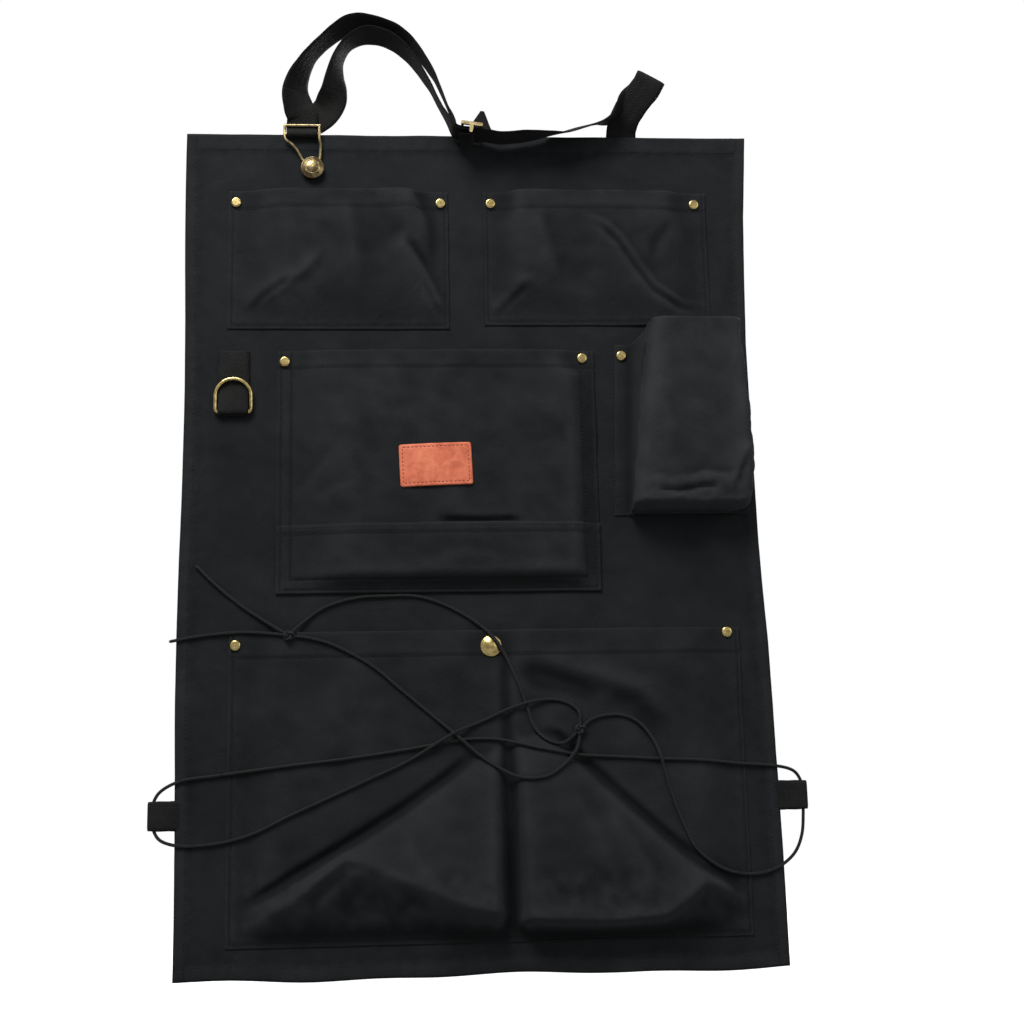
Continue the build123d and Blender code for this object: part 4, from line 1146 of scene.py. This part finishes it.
# One cord: its two tails (a, b) leave the first knot, c and d join it to the second, and e, f and g
# pass through the side loops.
runs = {
    "a": [(-218, -24), (-203, -39), (-184, -55), (-165, -68), KNOT_1],
    "b": [(-237, -83), (-214, -79), (-184, -76.5), (-161, -78), KNOT_1],
    "e": [RIGHT_PASS, (246, -198), (240, -189), (225, -185), (200, -183), (169, -180), (130, -178),
          (99, -176), (72, -174), (45, -169), (15, -162), (-8, -161), (-31, -164), (-62, -169), (-100, -174),
          (-138, -178), (-175, -182), (-201, -185), (-225, -188), (-240, -195), (-246, -204), LEFT_PASS],
    "c": [KNOT_1, (-136, -70), (-119, -58), (-96, -51), (-73, -49.5), (-45, -50.5), (-18, -61), (5, -77),
          (18, -94), (28, -116), (35, -135), (41, -153), (51, -163), (63, -165), KNOT_2],
    "d": [KNOT_1, (-130, -82), (-111, -88), (-84, -103), (-61, -122), (-39, -141), (-20, -157), (-2, -173),
          (14, -184), (31, -191), (49, -190), (63, -181), (73, -169), KNOT_2],
    "f": [LEFT_PASS, (-245.5, -224), (-240, -232), (-227, -236), (-211, -236), (-193, -234), (-171, -228),
          (-145, -216), (-115, -203), (-85, -190), (-58, -178), (-39, -167), (-20, -156), (0, -148),
          (23, -138), (46, -132), (63, -133), (75, -141), KNOT_2],
    "g": [KNOT_2, (86, -147), (102, -144), (116, -147), (127, -156), (135, -170), (140, -188), (146, -210),
          (153, -229), (160, -244), (171, -255), (186, -263), (205, -266), (223, -262), (237, -252),
          (244, -238), (246.2, -221), RIGHT_PASS],
}
laid = []
brass_tree = surface_tree([nodes["center_tack_cap"], nodes["rivet_caps"]])


def highest(x, y, reach, tree):
    """How far out a surface is, at a spot and at four spots round it."""
    around = ((0, 0), (reach, 0), (-reach, 0), (0, reach), (0, -reach))
    hits = [front_of(x + dx, y + dy, tree) for dx, dy in around]
    return [hit[0] for hit in hits if hit]


def drape(points):
    """Lays a cord on the cloth, over brass and earlier cords, bridging the hollows."""
    path, spots = smooth_path(np.array([(x, y, 0.0) for x, y in points]), 1.6)
    ground = []
    for x, y, _ in path:
        height = max(highest(x, y, 1.1, lying) or [1.0])
        height = max([height] + highest(x, y, 1.2, brass_tree))
        rest = height + CORD
        beyond = float(smooth(226, 238, abs(x)))
        ground.append(rest + (3.55 - rest) * beyond)
    ground = np.array(ground)
    for other in laid:
        gap = np.hypot(path[:, 0][:, None] - other[:, 0], path[:, 1][:, None] - other[:, 1])
        near = gap.argmin(1)
        close = gap.min(1)
        clear = (np.abs(path[:, 0]) < 236) & (close < 2.6)
        free = [math.dist(p[:2], KNOT_1) > 5 and math.dist(p[:2], KNOT_2) > 5 for p in path]
        over = other[near, 2] + np.sqrt(np.maximum(2.7 ** 2 - close ** 2, 0))
        ground = np.where(clear & free, np.maximum(ground, over), ground)
    out = ground.copy()
    for _ in range(40):
        out[1:-1] = np.maximum(ground[1:-1], (out[:-2] + out[2:]) / 2)
    for _ in range(3):
        out[1:-1] = (out[:-2] + 2 * out[1:-1] + out[2:]) / 4
    path[:, 2] = out
    laid.append(path)
    return path


def tube(name, path, radius=CORD, closed=False):
    """A round cord along a path, with rounded ends unless it closes on itself."""
    points = to_m(path[:, 0], path[:, 1], path[:, 2])
    along = tangents(points)
    up = np.zeros_like(points)
    up[0] = unit(np.cross(np.cross(along[0], (0, -1, 0.01)), along[0]))
    for i in range(1, len(points)):
        up[i] = unit(up[i - 1] - along[i] * np.dot(up[i - 1], along[i]))
    side = np.cross(along, up)
    run = np.r_[0, np.cumsum(np.linalg.norm(np.diff(points, axis=0), axis=1))] * 1000
    turn = np.linspace(0, TURN, 12, endpoint=False)
    size = np.full(len(points), radius)
    if not closed:
        size[0] = size[-1] = radius * 0.72
    ring = up[:, None, :] * np.cos(turn)[None, :, None] + side[:, None, :] * np.sin(turn)[None, :, None]
    rings = points[:, None, :] + ring * size[:, None, None] / 1000
    return ring_tube(name, rings, run, "elastic_cord", turn * radius)


paths = {key: drape(points) for key, points in runs.items()}
REACH = 196.0
e, f, g = paths["e"], paths["f"], paths["g"]
e_right = np.where(e[:, 0] > REACH)[0][-1] + 1
e_left = np.where(e[:, 0] < -REACH)[0][0] - 1
f_left = np.where(f[:, 0] < -REACH)[0][-1] + 1
g_right = np.where(g[:, 0] > REACH)[0][0] - 1
left_bight = tube("cord_left_bight", np.vstack([e[e_left:-1], f[:f_left + 1]]))
right_bight = tube("cord_right_bight", np.vstack([g[g_right:-1], e[:e_right + 1]]))
cords = [tube("cord_" + key, path) for key, path in
         (("a", paths["a"]), ("b", paths["b"]), ("c", paths["c"]), ("d", paths["d"]),
          ("e", e[e_right:e_left + 1]), ("f", f[f_left:]), ("g", g[:g_right + 1]))]


def knot(name, place):
    """A tight overhand knot: one closed trefoil of cord."""
    t = np.linspace(0, TURN, 97)
    out = front_of(*place)[0]
    spread = 1.25 * (2.0 + np.cos(3 * t))
    path = np.stack([place[0] + spread * np.cos(2 * t), place[1] + spread * np.sin(2 * t) * 0.85,
                     out + 2.6 + 1.35 * np.sin(3 * t)], 1)
    return tube(name, path, radius=1.2, closed=True)


cords += [knot("cord_knot_1", KNOT_1), knot("cord_knot_2", KNOT_2)]
for piece in cords:
    settle(piece, "panel", "waist_cord")
for piece, body, side in ((left_bight, "left_loop", -1), (right_bight, "right_loop", 1)):
    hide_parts("waist_cord")
    bend(piece, "panel", body, (side * 231.5, -210, 4), (side * 241, -210, 4))


# ------------------------------------------------------------------ brass

def shade(node, material):
    """Gives a CAD node that stays a new material."""
    piece = nodes[node]
    piece.data.materials.clear()
    piece.data.materials.append(material)


for node in ("rivet_caps", "center_tack_cap", "d_ring"):
    shade(node, materials["bright_brass"])
for node in ("strap_buckle", "strap_slider", "rivet_backs", "center_tack_nail", "tack_button_nail"):
    shade(node, materials["antique_brass"])
shade("tack_button", materials["aged_brass"])


# ------------------------------------------------------------------ stage, light and camera

def stage_floor():
    """Pale paper that the camera sees as nearly white and that throws little light back."""
    g = Graph("floor_paper")
    tone = g.ramp(g.noise(g.spot, 3.0, 4.0), ((0.3, (0.86, 0.86, 0.855)), (0.7, (0.9, 0.9, 0.895))))
    seen = g.add("ShaderNodeLightPath").outputs["Is Camera Ray"]
    paper = g.add("ShaderNodeMix", {"data_type": "RGBA"}, Factor=seen, i6=(0.3, 0.3, 0.3, 1), i7=tone)
    material = g.finish(Base_Color=paper.outputs[2], Roughness=0.9, Emission_Color=(1, 1, 1, 1),
                        Emission_Strength=g.times(seen, 0.72))
    mesh = bpy.data.meshes.new("floor")
    reach, gap = 14.0, 0.012
    drop = cad_box[0][2] - gap
    corners = [(-reach, -reach, drop), (reach, -reach, drop), (reach, reach, drop), (-reach, reach, drop)]
    mesh.from_pydata(corners, [], [(0, 1, 2, 3)])
    mesh.materials.append(material)
    link("floor", mesh)


def area_light(name, place, target, size, power):
    data = bpy.data.lights.new(name, "AREA")
    data.shape, data.size, data.energy = "DISK", size, power
    light = link(name, data)
    light.location = place
    light.rotation_euler = (Vector(target) - Vector(place)).to_track_quat("-Z", "Y").to_euler()


def studio_world(seen_strength, lit_strength):
    """White all round: bright where the camera looks at it, dimmer as a light on the cloth."""
    world = bpy.data.worlds.new("studio")
    world.use_nodes = True
    sky, background = world.node_tree, world.node_tree.nodes["Background"]
    background.inputs["Color"].default_value = (1.0, 1.0, 1.0, 1)
    seen = sky.nodes.new("ShaderNodeLightPath")
    level = sky.nodes.new("ShaderNodeMapRange")
    level.inputs["To Min"].default_value = lit_strength
    level.inputs["To Max"].default_value = seen_strength
    sky.links.new(seen.outputs["Is Camera Ray"], level.inputs["Value"])
    sky.links.new(level.outputs["Result"], background.inputs["Strength"])
    bpy.context.scene.world = world


def make_camera(place, roll, yaw, pitch, lens, sensor=36.0):
    """A camera that starts out level, facing +Y; the three angles are in degrees."""
    data = bpy.data.cameras.new("camera")
    data.sensor_width, data.lens = sensor, lens
    camera = link("camera", data)
    camera.location = place
    turns = ((90, "X"), (roll, "Z"), (yaw, "Y"), (pitch, "X"))
    facing = Matrix.Identity(3)
    for angle, axis in turns:
        facing = facing @ Matrix.Rotation(math.radians(angle), 3, axis)
    camera.rotation_euler = facing.to_euler()
    bpy.context.scene.camera = camera


stage_floor()
studio_world(seen_strength=1.0, lit_strength=0.38)
CENTRE = (0.0, 0.0, -0.3)
area_light("key", (-0.55, -1.15, 1.15), CENTRE, size=1.0, power=33)
area_light("fill", (1.3, -1.5, 0.2), CENTRE, size=1.2, power=5)
area_light("back", (0.9, 1.6, 0.8), CENTRE, size=1.0, power=16)
make_camera((-0.0601, -1.2339, -0.5714), roll=-1.27, yaw=-3.81, pitch=11.97, lens=56.25)
bpy.context.scene.view_settings.view_transform = "Standard"
